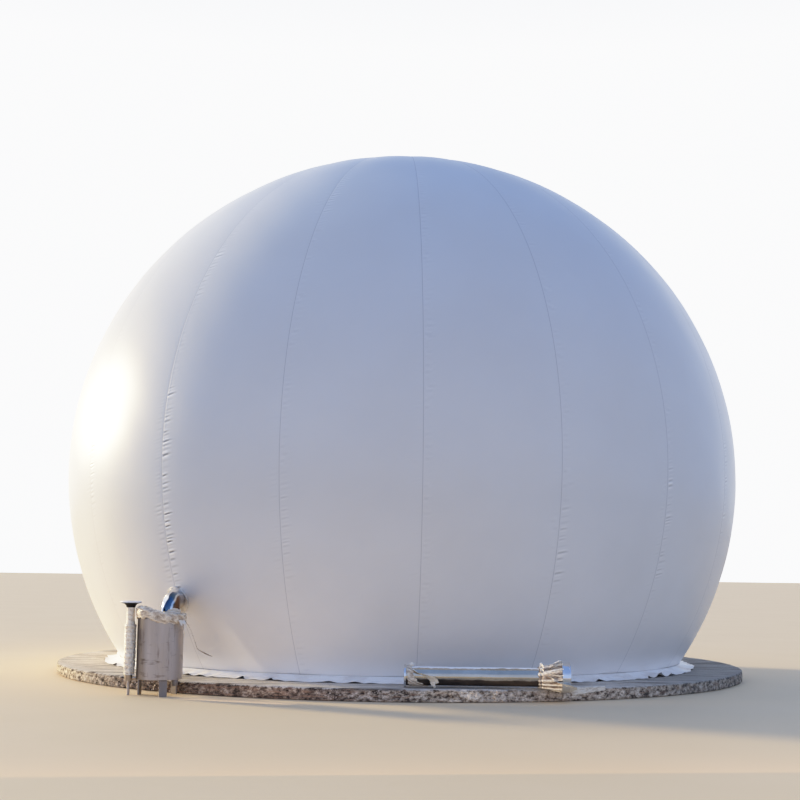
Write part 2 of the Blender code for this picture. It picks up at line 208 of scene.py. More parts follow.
ELBOW_FLANGE_RADIUS = 0.133
PORT_ANGLE = math.radians(-37.2)
PORT_INSET = 0.002
PORT_FLANGE_RADIUS = 0.18
PORT_FLANGE_THICKNESS = 0.02
PORT_FACE = 0.014
PORT_BOLTS = 12
PORT_BOLT_RING = 0.168
PORT_BOLT_SIZE = 0.006
WASHER_THICKNESS = 0.002

# Pipe spool along the slab's rim, with a small flange on the left and a wide collar on the right
SPOOL_LEFT = (0.055, -4.78, 0.2853)
SPOOL_RIGHT = (2.0, -4.78, 0.2853)
SPOOL_LENGTH = (Vector(SPOOL_RIGHT) - Vector(SPOOL_LEFT)).length
SPOOL_RADIUS = 0.1095
SPOOL_BORE = 0.1055
SPOOL_WELD_SHARE = 0.30
SPOOL_INSET = 0.0005
SPOOL_FLANGE_GAP = 0.0008
SPOOL_FLANGE_RADIUS = 0.135
SPOOL_FLANGE_THICKNESS = 0.022
SPOOL_COLLAR_RADIUS = 0.18
SPOOL_COLLAR_LENGTH = 0.10
SPOOL_CONE_LENGTH = 0.27

# Film: its reach from the pot's axis, the vent's wrap, which is held thinner above the pot, and the
# strip draped over the slab's rim
RIM_FILM_REACH = 0.311
VENT_FILM_HEIGHTS = (0.237, 0.30, 0.36, 0.82, 0.86, 1.035)
VENT_FILM_RADII = (0.052, 0.056, 0.061, 0.060, 0.0465, 0.0462)
VENT_FILM_REACH = 0.0655
VENT_FILM_THIN_FROM = 0.83
VENT_FILM_THIN_REACH = 0.0482
TAIL_START = math.radians(23.9)
TAIL_END = math.radians(29.4)
TAIL_ON_TOP = 0.075
TAIL_HANG = 0.082
TAIL_STANDOFF = 0.006
TAIL_NARROWING = 0.6


class Nodes:
    """Adds nodes to one tree; an input given as a socket is linked, any other is set."""

    def __init__(self, tree):
        self.tree = tree

    def add(self, kind, inputs=None, **settings):
        item = self.tree.nodes.new(f"ShaderNode{kind}")
        for key, value in settings.items():
            setattr(item, key, value)
        for key, value in (inputs or {}).items():
            socket = item.inputs[key]
            if isinstance(value, bpy.types.NodeSocket):
                self.tree.links.new(value, socket)
            elif socket.type == "RGBA":
                socket.default_value = (*value, 1.0)
            else:
                socket.default_value = value
        return item

    def axis(self, vector, name):
        return self.add("SeparateXYZ", {"Vector": vector}).outputs[name]

    def combine(self, operation, first, second):
        return self.add("Math", {0: first, 1: second}, operation=operation).outputs[0]

    def spread(self, value, low, high, to_low=0.0, to_high=1.0):
        """The range from low to high taken to another range, and held inside it."""
        inputs = {"Value": value, "From Min": low, "From Max": high, "To Min": to_low, "To Max": to_high}
        return self.add("MapRange", inputs).outputs["Result"]

    def mix(self, factor, first, second, blend_type="MIX"):
        inputs = {0: factor, 6: first, 7: second}
        return self.add("Mix", inputs, data_type="RGBA", blend_type=blend_type).outputs[2]


class Look(Nodes):
    """A principled material, coloured by each point's own place."""

    def __init__(self, name, roughness, metallic=0.0):
        self.material = bpy.data.materials.new(name)
        self.material.use_nodes = True
        super().__init__(self.material.node_tree)
        self.inputs = self.tree.nodes["Principled BSDF"].inputs
        self.inputs["Roughness"].default_value = roughness
        self.inputs["Metallic"].default_value = metallic
        self.place = self.add("TexCoord").outputs["Object"]

    def done(self, colour, roughness=None, normal=None, metallic=None):
        """Link what varies over the surface and give the material back."""
        varied = {"Base Color": colour, "Roughness": roughness, "Normal": normal, "Metallic": metallic}
        for name, socket in varied.items():
            if socket is not None:
                self.tree.links.new(socket, self.inputs[name])
        return self.material

    def attribute(self, name):
        return self.add("Attribute", attribute_name=name).outputs["Fac"]

    def noise(self, scale, detail=4.0, roughness=0.5, distortion=0.0, stretch=None):
        place = self.place
        if stretch:
            place = self.add("Mapping", {"Vector": place, "Scale": stretch}).outputs["Vector"]
        inputs = {"Vector": place, "Scale": scale, "Detail": detail, "Roughness": roughness}
        return self.add("TexNoise", {**inputs, "Distortion": distortion}).outputs["Fac"]

    def ramp(self, factor, *stops):
        """A colour ramp through (position, colour) stops."""
        item = self.add("ValToRGB", {"Fac": factor})
        elements = item.color_ramp.elements
        while len(elements) < len(stops):
            elements.new(0.5)
        for element, (position, colour) in zip(elements, stops):
            element.position = position
            element.color = (*colour, 1.0)
        return item.outputs["Color"]

    def ragged(self, value, texture, depth):
        """The value, pushed up or down by a texture."""
        return self.combine("ADD", value, self.spread(texture, 0.3, 0.7, -depth, depth))

    def bump(self, height, distance, strength=1.0, normal=None):
        inputs = {"Height": height, "Distance": distance, "Strength": strength}
        if normal is not None:
            inputs["Normal"] = normal
        return self.add("Bump", inputs).outputs["Normal"]


def membrane_material():
    """Coated fabric: a darker line in each seam, a paler weld beside it, patches of dust, painted light
    that makes it paler towards the foot, painted shade in its puckers' troughs and painted highlight on
    their ridges.
    """
    look = Look("membrane", 0.38)
    cloud = look.noise(0.7, 5.0)
    # Painted light: the fabric is painted paler towards the foot, as if more light fell there.
    painted_foot_light = look.ramp(
        look.spread(look.axis(look.place, "Z"), 0.0, 8.0),
        (0.0, (0.96, 0.93, 0.89)),
        (0.1, (0.90, 0.88, 0.86)),
        (0.3, (0.735, 0.74, 0.74)),
        (0.7, (0.69, 0.695, 0.70)),
    )
    dusty = look.mix(look.spread(cloud, 0.35, 0.75, 0.0, 0.25), painted_foot_light, (0.60, 0.58, 0.55))
    seam = look.attribute("seam_distance")
    weld = look.ramp(
        look.spread(seam, 0.0, 0.06),
        (0.0, (0.70, 0.70, 0.72)),
        (0.1, (0.76, 0.76, 0.78)),
        (0.16, (1.0, 1.0, 1.0)),
        (1.0, (1.0, 1.0, 1.0)),
    )
    lined = look.mix(1.0, dusty, weld, "MULTIPLY")
    pucker = look.attribute("pucker")
    # Painted shade in the troughs of the puckers and painted highlight on their ridges.
    painted_trough_shade = look.mix(look.spread(pucker, 0.0, -1.0), lined, (0.22, 0.21, 0.21))
    painted_ridge_light = look.mix(look.spread(pucker, 0.0, 0.32), painted_trough_shade, (1.0, 0.99, 0.96))
    lap = look.bump(look.spread(seam, 0.038, 0.044, 1.0, 0.0), 0.001)
    cloth = look.bump(look.noise(60.0, 3.0), 0.0006, 0.5, lap)
    return look.done(painted_ridge_light, look.spread(cloud, 0.2, 0.8, 0.30, 0.36), cloth)


def skirt_material():
    """The flap's fabric, whiter than the rest, with faint dirt."""
    look = Look("skirt_fabric", 0.45)
    darkening_share = look.spread(look.noise(3.0, 6.0, 0.6), 0.45, 0.8)
    colour = look.mix(darkening_share, (1.0, 0.97, 0.92), (0.70, 0.62, 0.54))
    return look.done(colour, normal=look.bump(look.noise(40.0, 4.0), 0.002, 0.6))


def concrete_material():
    """Concrete floated in long strokes, with a crust of soil and small stones on its side."""
    look = Look("concrete", 0.9)
    strokes = look.noise(3.0, 5.0, 0.65, stretch=(0.35, 3.2, 1.0))
    float_marks = look.ramp(
        strokes,
        (0.38, (0.15, 0.11, 0.08)),
        (0.45, (0.56, 0.49, 0.41)),
        (0.56, (0.76, 0.69, 0.60)),
        (0.63, (0.36, 0.29, 0.23)),
    )
    stains = look.spread(look.noise(1.6, 6.0, 0.6), 0.5, 0.75, 0.0, 0.45)
    top = look.mix(stains, float_marks, (0.36, 0.28, 0.21))
    crust = look.noise(13.0, 8.0, 0.72, stretch=(1.0, 1.0, 1.6))
    brown_tones = look.ramp(
        crust,
        (0.42, (0.03, 0.02, 0.015)),
        (0.48, (0.24, 0.165, 0.12)),
        (0.545, (0.48, 0.34, 0.25)),
        (0.61, (1.0, 0.82, 0.66)),
    )
    # Paler soil, used below as painted sunlight where sun falls on the side.
    pale_soil_and_painted_sun = look.ramp(
        crust,
        (0.41, (0.09, 0.06, 0.04)),
        (0.475, (0.46, 0.37, 0.27)),
        (0.55, (0.80, 0.70, 0.55)),
        (0.63, (1.0, 0.93, 0.80)),
    )
    sideways = look.axis(look.place, "X")
    layers = look.noise(6.0, 5.0, 0.6, stretch=(0.8, 0.8, 7.0))
    reddish = look.mix(look.spread(layers, 0.52, 0.64, 0.0, 0.8), brown_tones, (0.62, 0.36, 0.23))
    # The side darker towards the left.
    darker_leftwards = look.mix(look.spread(sideways, -1.8, 0.2, 0.5, 0.0), reddish, (0.045, 0.032, 0.026))
    # Painted sunlight: the side takes the paler soil towards the right, and wholly on the far left.
    painted_sun_on_right = look.mix(look.spread(sideways, -1.0, 0.4, 0.0, 0.6), darker_leftwards, pale_soil_and_painted_sun)
    side = look.mix(look.spread(sideways, -4.4, -3.3, 1.0, 0.0), painted_sun_on_right, pale_soil_and_painted_sun)
    cells = look.add("TexVoronoi", {"Vector": look.place, "Scale": 26.0}).outputs["Distance"]
    patchy = look.spread(look.noise(2.2, 3.0), 0.50, 0.62)
    stones = look.combine("MULTIPLY", look.spread(cells, 0.25, 0.33, 1.0, 0.0), patchy)
    stony = look.mix(stones, side, (0.72, 0.58, 0.47))
    rim = look.ragged(look.axis(look.place, "Z"), crust, 0.02)
    soiled = look.mix(look.spread(rim, 0.128, 0.140, 1.0, 0.0), top, stony)
    # The slab darker and bluer towards its right end.
    darker_right_end = look.mix(look.spread(sideways, 2.6, 3.8, 0.0, 0.45), soiled, (0.075, 0.09, 0.095))
    grain = look.bump(crust, 0.03, 0.8)
    return look.done(darker_right_end, normal=look.bump(strokes, 0.01, 0.4, grain))


def steel_material(name, colour, roughness, stretch, metallic=1.0):
    """Mill-finish steel with drawn-out streaks and faint stains."""
    look = Look(name, roughness, metallic)
    streaks = look.noise(6.0, 5.0, 0.6, stretch=stretch)
    darker = tuple(0.72 * part for part in colour)
    base = look.mix(look.spread(streaks, 0.3, 0.7), darker, colour)
    stains = look.spread(look.noise(7.0, 5.0), 0.5, 0.75, 0.0, 0.6)
    marked = look.mix(stains, base, (0.28, 0.20, 0.15))
    shine = look.spread(streaks, 0.2, 0.8, 0.8 * roughness, 1.3 * roughness)
    return look.done(marked, shine, look.bump(streaks, 0.001, 0.3))


def pot_material():
    """Dull stainless sheet: painted shade on its left flank, short dark scuffs and drips."""
    look = Look("stained_stainless_steel_painted_shade", 0.36, 0.9)
    streaks = look.noise(6.0, 5.0, 0.6, stretch=(1.0, 1.0, 0.1))
    base = look.mix(look.spread(streaks, 0.3, 0.7), (0.44, 0.38, 0.34), (0.64, 0.56, 0.51))
    scuffs = look.noise(4.5, 4.0, 0.6, stretch=(1.0, 1.0, 3.5))
    drips = look.noise(4.0, 4.0, 0.6, stretch=(4.0, 4.0, 0.55))
    marked = look.mix(look.spread(scuffs, 0.58, 0.70, 0.0, 0.75), base, (0.13, 0.09, 0.07))
    marked = look.mix(look.spread(drips, 0.58, 0.72, 0.0, 0.7), marked, (0.15, 0.10, 0.08))
    # Painted shade: the left flank darkened where it lies in shade.
    flank = POT_PLACE[0] - POT_RADIUS
    darkening_share = look.spread(look.axis(look.place, "X"), flank + 0.02, flank + 0.17, 1.0, 0.0)
    painted_flank_shade = look.mix(darkening_share, marked, (0.06, 0.035, 0.025))
    return look.done(painted_flank_shade, look.spread(streaks, 0.2, 0.8, 0.30, 0.45), look.bump(streaks, 0.001, 0.3))


def flange_material():
    """The vent's flange: a painted highlight in near white on top, painted shade in near black on the neck
    under it.
    """
    look = Look("flange_with_painted_light_and_shade", 0.5)
    look.inputs["Specular IOR Level"].default_value = 0.2
    # Painted light and shade: near white above the flange's lower edge as a highlight, near black below it
    # as shade on the underside and neck.
    edge = look.ragged(look.axis(look.place, "Z"), look.noise(40.0), 0.002)
    bare_metal_and_painted_lit_top = look.spread(edge, VENT_TOP + 0.004, VENT_TOP + 0.007)
    colour = look.mix(bare_metal_and_painted_lit_top, (0.010, 0.008, 0.007), (1.0, 0.97, 0.93))
    return look.done(colour, look.spread(look.noise(25.0), 0.3, 0.7, 0.4, 0.6))


def polished_material():
    look = Look("polished_steel", 0.06, 1.0)
    wear = look.noise(9.0, 6.0, 0.6)
    colour = look.mix(look.spread(wear, 0.3, 0.7), (0.70, 0.71, 0.73), (0.80, 0.81, 0.83))
    dents = look.bump(look.noise(5.0, 2.0), 0.004, 0.25)
    return look.done(colour, look.spread(wear, 0.4, 0.8, 0.04, 0.14), dents)


def spool_material():
    """Polished steel with a painted highlight in a pale colour along its top and a painted dark reflection
    in brown underneath.
    """
    look = Look("polished_steel_painted_highlight_and_reflection", 0.10, 1.0)
    wear = look.noise(12.0, 6.0, 0.6, stretch=(0.4, 1.0, 1.0))
    steel = look.mix(look.spread(wear, 0.3, 0.7), (0.54, 0.48, 0.39), (0.68, 0.61, 0.51))
    # Painted highlight: a pale line along the top; painted reflection: dark brown underneath, where dark
    # ground would be mirrored.
    height = look.ragged(look.axis(look.place, "Z"), wear, 0.012)
    painted_underside_share = look.spread(height, 0.250, 0.275, 1.0, 0.0)
    painted_top_highlight_share = look.spread(height, 0.378, 0.384)
    brown_tones = look.mix(look.spread(wear, 0.35, 0.65), (0.015, 0.010, 0.007), (0.055, 0.036, 0.024))
    colour = look.mix(painted_top_highlight_share, look.mix(painted_underside_share, steel, brown_tones), (1.0, 0.98, 0.94))
    painted_bands = look.combine("MAXIMUM", painted_underside_share, painted_top_highlight_share)
    bare_metal_and_painted_lit_top = look.spread(painted_bands, 0.0, 1.0, 1.0, 0.0)
    return look.done(colour, look.spread(painted_bands, 0.0, 1.0, 0.10, 0.8), look.bump(wear, 0.003, 0.3), bare_metal_and_painted_lit_top)


def elbow_material():
    """Polished steel with painted reflections: bright, blue and brown bands from one side of the bend to
    the other.
    """
    look = Look("steel_with_painted_reflections", 0.08, 1.0)
    height = look.axis(look.place, "Z")
    lean = look.spread(height, ELBOW_AXIS_HEIGHT - 0.1, ELBOW_AXIS_HEIGHT + 0.1, 0.0, -0.7)
    leaning = look.combine("ADD", look.attribute("bend_side"), lean)
    # Painted reflections of sky, horizon and ground, as bands round the bend.
    painted_reflections = look.ramp(
        look.spread(look.ragged(leaning, look.noise(9.0), 0.08), -1.0, 1.0),
        (0.10, (0.95, 0.93, 0.90)),
        (0.15, (0.03, 0.04, 0.09)),
        (0.24, (0.05, 0.11, 0.20)),
        (0.46, (0.13, 0.21, 0.31)),
        (0.51, (0.92, 0.90, 0.86)),
        (0.57, (0.85, 0.80, 0.72)),
        (0.62, (0.22, 0.11, 0.06)),
        (1.0, (0.10, 0.05, 0.03)),
    )
    return look.done(painted_reflections, look.spread(look.noise(20.0), 0.3, 0.7, 0.05, 0.14))


def film_material():
    """Thin milky packing film, its light and shade painted: cream where it is bunched up, brownish painted
    shade where it lies in a fold.
    """
    look = Look("packing_film", 0.32)
    tone = look.noise(13.0, 5.0, 0.6, 1.2, stretch=(1.0, 1.0, 2.2))
    # Painted shade in brown where the fold light is low, painted light in cream where it is high.
    colour = look.ramp(
        look.ragged(look.attribute("painted_fold_light"), tone, 0.20),
        (0.0, (0.20, 0.13, 0.09)),
        (0.25, (0.62, 0.49, 0.36)),
        (0.5, (0.95, 0.84, 0.68)),
        (0.75, (1.0, 0.93, 0.80)),
    )
    return look.done(colour, normal=look.bump(look.noise(38.0, 4.0, 0.6, 1.0), 0.02, 0.8))


class Patch:
    """A rows x columns x 3 array of points; wrap closes each row on itself, caps close the ends.

    Fold light says how far each point stands up in a film's folds, from 0 to 1; the film's painted light
    and shade follow it, brown shade where low and cream light where high.
    """

    def __init__(self, points, wrap=True, cap_first=False, cap_last=False, flip=False, painted_fold_light=0.6):
        self.points = np.asarray(points)
        self.painted_fold_light = np.broadcast_to(painted_fold_light, self.points.shape[:2])
        self.wrap = wrap
        self.cap_first = cap_first
        self.cap_last = cap_last
        self.flip = flip

    def faces(self, first):
        rows, columns = self.points.shape[:2]
        index = first + np.arange(rows * columns).reshape(rows, columns)
        closed = np.concatenate([index, index[:, :1]], axis=1) if self.wrap else index
        quads = np.stack([closed[:-1, :-1], closed[:-1, 1:], closed[1:, 1:], closed[1:, :-1]], axis=-1)
        faces = quads.reshape(-1, 4).tolist()
        if self.cap_first:
            faces.append(index[0, ::-1].tolist())
        if self.cap_last:
            faces.append(index[-1].tolist())
        return [face[::-1] for face in faces] if self.flip else faces


def add_object(name, data):
    item = bpy.data.objects.new(name, data)
    bpy.context.scene.collection.objects.link(item)
    return item


def patch_piece(name, node_name, patches, material):
    """One smooth object made of grids of points, which takes the place of a CAD node."""
    points = []
    faces = []
    for patch in patches:
        faces += patch.faces(len(points))
        points += patch.points.reshape(-1, 3).tolist()
    mesh = bpy.data.meshes.new(name)
    mesh.from_pydata(points, [], faces)
    mesh.shade_smooth()
    mesh.materials.append(material)
    piece = add_object(name, mesh)
    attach(piece, "root")
    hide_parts(node_name)
    return piece


def membrane_piece(name, node_name, patch, material):
    return patch_piece(f"membrane_{name}", node_name, [patch], material)


def solid_piece(node_name, slot, patches, material):
    return patch_piece(f"{slot}_{node_name}", node_name, patches, material)


def set_attribute(piece, name, values):
    attribute = piece.data.attributes.new(name, "FLOAT", "POINT")
    attribute.data.foreach_set("value", np.ascontiguousarray(values.reshape(-1), dtype=np.float32))


def stacked(x, y, z):
    """Points from coordinates that may need to be repeated to the same shape."""
    return np.stack(np.broadcast_arrays(x, y, z), axis=-1)


def full_turn(count, start=0.0):
    """Evenly spaced angles round a circle."""
    return np.linspace(start, start + math.tau, count, endpoint=False)


def bell(value, centre, width):
    return np.exp(-(((value - centre) / width) ** 2))


def azimuth_points(radius, angle, height, place=(0.0, 0.0)):
    """Points round a place, at azimuths measured from -Y towards +X."""
    return stacked(radius * np.sin(angle), -radius * np.cos(angle), height) + np.array((*place, 0.0))


def disc(radius, low, high):
    """The profile of a disc from one height to another."""
    return [(0.0, low), (radius, low), (radius, high), (0.0, high)]


def revolved(profile, place=(0.0, 0.0), columns=128, corner=0.0015, matrix=None, **options):
    """A (radius, height) profile turned about Z, its corners a little rounded, carried by a matrix."""
    rounded = []
    for index, (radius, height) in enumerate(profile):
        here = Vector((radius, height))
        if index in (0, len(profile) - 1):
            rounded.append(here)
            continue
        before = Vector(profile[index - 1]) - here
        after = Vector(profile[index + 1]) - here
        size = min(corner, 0.3 * before.length, 0.3 * after.length)
        rounded.append(here + before.normalized() * size)
        rounded.append(here + (before.normalized() + after.normalized()) * size * 0.29)
        rounded.append(here + after.normalized() * size)
    angles = full_turn(columns)
    radii = np.array([[max(point.x, 1e-5)] for point in rounded])
    heights = np.array([[point.y] for point in rounded])
    points = stacked(place[0] + radii * np.cos(angles), place[1] + radii * np.sin(angles), heights)
    return Patch(points if matrix is None else moved(points, matrix), **options)


def moved(points, matrix):
    """Points carried by a 4 x 4 matrix."""
    turn = np.array(matrix.to_3x3())
    return points @ turn.T + np.array(matrix.translation)


def along_axis(start, end):
    """The matrix that takes Z and the origin to an axis from start to end."""
    start = Vector(start)
    way = Vector(end) - start
    return Matrix.Translation(start) @ way.to_track_quat("Z", "X").to_matrix().to_4x4()


def spans(controls, rows):
    """Rows of values that run straight from each control row to the next."""
    controls = np.array(np.broadcast_arrays(*controls))
    position = np.linspace(0.0, len(controls) - 1.0, rows)
    lower = np.minimum(position.astype(int), len(controls) - 2)
    part = (position - lower).reshape(-1, *[1] * (controls.ndim - 1))
    return controls[lower] * (1.0 - part) + controls[lower + 1] * part


def creases(u, v, size, seed):
    """Sharp creases like those of handled film, from about -0.3 to 0.6."""
    random = np.random.default_rng(seed)
    shift = random.uniform(0.0, math.tau, 2)
    warped_u = u + 0.35 * size * np.sin(2.1 * v / size + shift[0])
    warped_v = v + 0.35 * size * np.sin(1.7 * u / size + shift[1])
    total = 0.0
    for share in (1.0, 0.62, 0.37, 0.22):
        turn = random.uniform(0.0, math.pi)
        phase = random.uniform(0.0, math.tau)
        across = math.cos(turn) * warped_u + math.sin(turn) * warped_v
        total = total + share * np.abs(np.sin(math.pi * across / (size * share) + phase))
    return 0.637 - total / 2.21


def ring_noise(angles, frequencies, seed):
    """Smooth noise, about -1 to 1; whole frequencies repeat round the circle."""
    phases = np.random.default_rng(seed).uniform(0.0, math.tau, len(frequencies))
    waves = [np.sin(f * angles + phase) for f, phase in zip(frequencies, phases)]
    return sum(waves) / math.sqrt(len(frequencies))


def ribbon(path, width, seed, columns=9, rows=60, twist=0.0, crumple=0.01):
    """A creased strip along a smooth path; width is one value or one for each path point."""
    path = np.array(path)
    knots = np.arange(len(path))
    place = np.linspace(0.0, len(path) - 1.0, rows)
    centre = np.stack([np.interp(place, knots, path[:, axis]) for axis in range(3)], axis=-1)
    for _ in range(6):
        centre[1:-1] = 0.25 * centre[:-2] + 0.5 * centre[1:-1] + 0.25 * centre[2:]
    wide = np.interp(place, knots, np.broadcast_to(width, len(path)))
    along = np.gradient(centre, axis=0)
    along /= np.linalg.norm(along, axis=1, keepdims=True)
    side = np.cross(along, (0.0, 0.0, 1.0))
    length = np.linalg.norm(side, axis=1, keepdims=True)
    side = np.where(length > 0.05, side / np.maximum(length, 1e-6), (1.0, 0.0, 0.0))
    up = np.cross(side, along)
    turn = (twist * np.linspace(0.0, 1.0, rows))[:, None]
    side, up = side * np.cos(turn) + up * np.sin(turn), up * np.cos(turn) - side * np.sin(turn)
    across = np.linspace(-0.5, 0.5, columns)
    travelled = np.concatenate([[0.0], np.cumsum(np.linalg.norm(np.diff(centre, axis=0), axis=1))])
    offset = across[None, :] * wide[:, None]
    crease_size = max(float(wide.max()) * 0.6, 0.02)
    lift = crumple * (0.4 + creases(travelled[:, None], offset, crease_size, seed))
    return centre[:, None, :] + side[:, None, :] * offset[..., None] + up[:, None, :] * lift[..., None]


def strip_patch(path, width, seed, painted_fold_light, **options):
    return Patch(ribbon(path, width, seed, **options), wrap=False, painted_fold_light=painted_fold_light)


def membrane_radius(height):
    sine = (height - MEMBRANE_CENTRE_HEIGHT) / MEMBRANE_RISE
    return MEMBRANE_RADIUS * np.sqrt(1.0 - sine**2)


def pucker_strength(seam, heights):
    strength = np.full_like(heights, EVERYWHERE_PUCKERS)
    for number, low, high, amount in PUCKERS:
        if number == seam:
            from_end = np.clip(np.array((heights - low, high - heights)) / PUCKER_FADE, 0.0, 1.0)
            strength = np.maximum(strength, amount * from_end[0] * from_end[1])
    return strength


def puckers(seam, side, lengths, heights, distance):
    """Short creases square to a seam, each a trough between two ridges, unevenly far apart."""
    random = np.random.default_rng(500 + 10 * seam + side)
    slanted = lengths - side * PUCKER_SLANT * distance
    total = np.zeros_like(slanted)
    place = 0.0
    while place < GORE_LENGTH:
        place += random.uniform(*PUCKER_SPACING)
        size = random.uniform(0.35, 1.1) ** 2.5
        reach = PUCKER_REACH * random.uniform(0.65, 1.0)
        across = np.clip((distance - 0.012) / 0.02, 0.0, 1.0) * np.clip((reach - distance) / 0.05, 0.0, 1.0)
        offset = (slanted - place) / random.uniform(*PUCKER_WIDTH)
        total += size * across * (offset**2 - 1.0) * np.exp(-0.5 * offset**2)
    return pucker_strength(seam, heights) * total


def gore_rows(number):
    """The angles of a gore's rows, close together where one of its seams is puckered."""
    angles = np.linspace(GORE_START, GORE_END, PROFILE_SAMPLES)
    heights = MEMBRANE_CENTRE_HEIGHT + MEMBRANE_RISE * np.sin(angles)
    left = pucker_strength(number, heights)
    right = pucker_strength((number + 1) % GORE_COUNT, heights)
    puckered = np.maximum(left, FAR_SIDE_SHARE * right) > EVERYWHERE_PUCKERS
    spacing = np.where(puckered, PUCKERED_ROW_SPACING, ROW_SPACING)
    rows = np.cumsum(MEMBRANE_RADIUS * np.gradient(angles) / spacing)
    return np.interp(np.linspace(rows[0], rows[-1], int(rows[-1])), rows, angles)[:, None]


def build_gore(number, material):
    """One gore from the clamp ring to the crown, drawn in a little at its seams."""
    theta = gore_rows(number)
    half = np.array(HALF_COLUMNS)
    share = np.concatenate([half, [0.5], 1.0 - half[::-1]])[None, :]
    arch = 4.0 * share * (1.0 - share)
    radius = MEMBRANE_RADIUS * np.cos(theta)
    height = MEMBRANE_CENTRE_HEIGHT + MEMBRANE_RISE * np.sin(theta)
    length = MEMBRANE_RADIUS * (theta - GORE_START)
    from_left = radius * GORE_ANGLE * share
    from_right = radius * GORE_ANGLE * (1.0 - share)

    pillow = PILLOW_DEPTH * (arch - 1.0)
    groove = -GROOVE_DEPTH * np.exp(-np.minimum(from_left, from_right) / GROOVE_WIDTH)
    wrinkles = puckers(number, 1, length, height, from_left)
    far_wrinkles = puckers((number + 1) % GORE_COUNT, -1, length, height, from_right)
    wrinkles = wrinkles + FAR_SIDE_SHARE * far_wrinkles
    frequencies = [math.tau / wavelength for wavelength in WAVELENGTHS]
    waves = WAVE_DEPTH * ring_noise(length + 0.8 * from_left, frequencies, 300 + number)
    out = pillow + groove + PUCKER_DEPTH * wrinkles + waves * arch

    scale = np.hypot(MEMBRANE_RISE * np.cos(theta), MEMBRANE_RADIUS * np.sin(theta))
    out_level = MEMBRANE_RISE * np.cos(theta) / scale
    out_up = MEMBRANE_RADIUS * np.sin(theta) / scale
    angle = FIRST_SEAM_ANGLE + GORE_ANGLE * (number + share)
    points = azimuth_points(radius + out * out_level, angle, height + out * out_up)
    name = f"gore_{number + 1:02d}"
    piece = membrane_piece(name, name, Patch(points, wrap=False), material)
    set_attribute(piece, "seam_distance", from_left)
    set_attribute(piece, "pucker", wrinkles)


def build_crown(material):
    """A round patch welded over the tips of the gores."""
    outer = CROWN_RADIUS + CROWN_LAP
    radii = np.concatenate([[0.01], np.linspace(0.05, outer - 0.002, 22), [outer]])[:, None]
    angles = full_turn(180)[None, :]
    height = MEMBRANE_CENTRE_HEIGHT + MEMBRANE_RISE * np.sqrt(1.0 - (radii / MEMBRANE_RADIUS) ** 2)
    lift = np.where(radii < outer, CROWN_LIFT, -CROWN_EDGE_DIP)
    points = azimuth_points(radii, angles, height + lift)
    piece = membrane_piece("crown_patch", "crown_patch", Patch(points, cap_first=True), material)
    set_attribute(piece, "seam_distance", np.full(points.shape[:2], 1.0))


def build_skirt(material):
    """The loose flap that hides the clamp ring; its edge lifts and ruffles."""
    angles = full_turn(SKIRT_COLUMNS, -math.pi)[None, :]
    share = np.linspace(0.0, 1.0, SKIRT_ROWS)[:, None]
    top_radius = membrane_radius(SKIRT_TOP) + 0.004
    edge = SKIRT_EDGE + SKIRT_WANDER * ring_noise(angles, (5, 9, 17, 29, 53, 83), 1)
    edge = edge + SKIRT_FRAY * np.abs(ring_noise(angles, (67, 111, 151), 6))
    ruffle = np.abs(ring_noise(angles, (19, 31, 47, 71, 97), 2)) ** 1.5 * SKIRT_RUFFLE
    far_side = 0.5 + 0.5 * np.tanh(4.0 * (np.abs(angles) - math.radians(70)))
    waves = np.clip(ring_noise(angles, (5, 9, 17, 29), 3), 0.0, 2.0)
    ruffle = ruffle + far_side * waves**2 * SKIRT_FAR_RUFFLE
    for centre, half_width, lift, reach in SKIRT_LIFTS:
        raised = bell(np.degrees(angles), centre, half_width / math.sqrt(2.0))
        ruffle = ruffle + lift * raised
        edge = edge + reach * raised
    radius = top_radius + (edge - top_radius) * share
    fall = (SKIRT_TOP - SLAB_HEIGHT - SKIRT_STANDOFF) * (1.0 - share) ** 1.7
    arch = SKIRT_FOLD * share * (1.0 - share) * 4.0
    folds = arch * ring_noise(angles + 0.05 * share, (53, 83, 127, 173), 4)
    height = SLAB_HEIGHT + SKIRT_STANDOFF + fall + ruffle * share**1.3 + np.abs(folds)
    points = azimuth_points(radius, angles, height)
    piece = membrane_piece("skirt", "skirt_flap", Patch(points, flip=True), material)


def build_slab(material):
    """The cast slab, its rim and side uneven."""
    angles = full_turn(SLAB_SEGMENTS, -math.pi)
    rows = [(radius, SLAB_HEIGHT, 0.0) for radius in (0.5, 3.9, 4.2, 4.4, 4.6, 4.8, 4.92)]
    rows += [(4.98, SLAB_HEIGHT, 0.3), (5.010, SLAB_HEIGHT - 0.001, 0.6), (5.026, SLAB_HEIGHT - 0.006, 1.0)]
    rows += [(SLAB_RADIUS, height, 1.0) for height in np.linspace(SLAB_HEIGHT - 0.018, 0.012, 10)]
    rows += [(5.028, 0.003, 1.0), (5.0, 0.0, 0.3), (0.5, 0.0, 0.0)]
    film_share = (angles - 0.5 * (TAIL_START + TAIL_END)) / (TAIL_END - TAIL_START)
    under_film = 1.0 - 0.8 * np.exp(-((1.5 * film_share) ** 8))
    wide = ring_noise(angles, (9, 17, 31, 53, 89, 131), 70)
    settled = ring_noise(angles, (61, 149, 263), 71)
    points = []
    for number, (radius, height, rough) in enumerate(rows):
        fine = ring_noise(angles + 0.01 * number, (211, 307, 419, 523, 691), number)
        out = rough * under_film * np.clip(0.006 * fine + 0.005 * wide, -SLAB_ROUGHNESS, SLAB_ROUGHNESS)
        sink = 0.002 * rough * settled if 0.1 < height < SLAB_HEIGHT else 0.0
        points.append(azimuth_points(radius + out, angles, height + sink))
    slab = Patch(np.array(points), cap_first=True, cap_last=True, flip=True)
    patch_piece("concrete_slab", "foundation_slab", [slab], material)


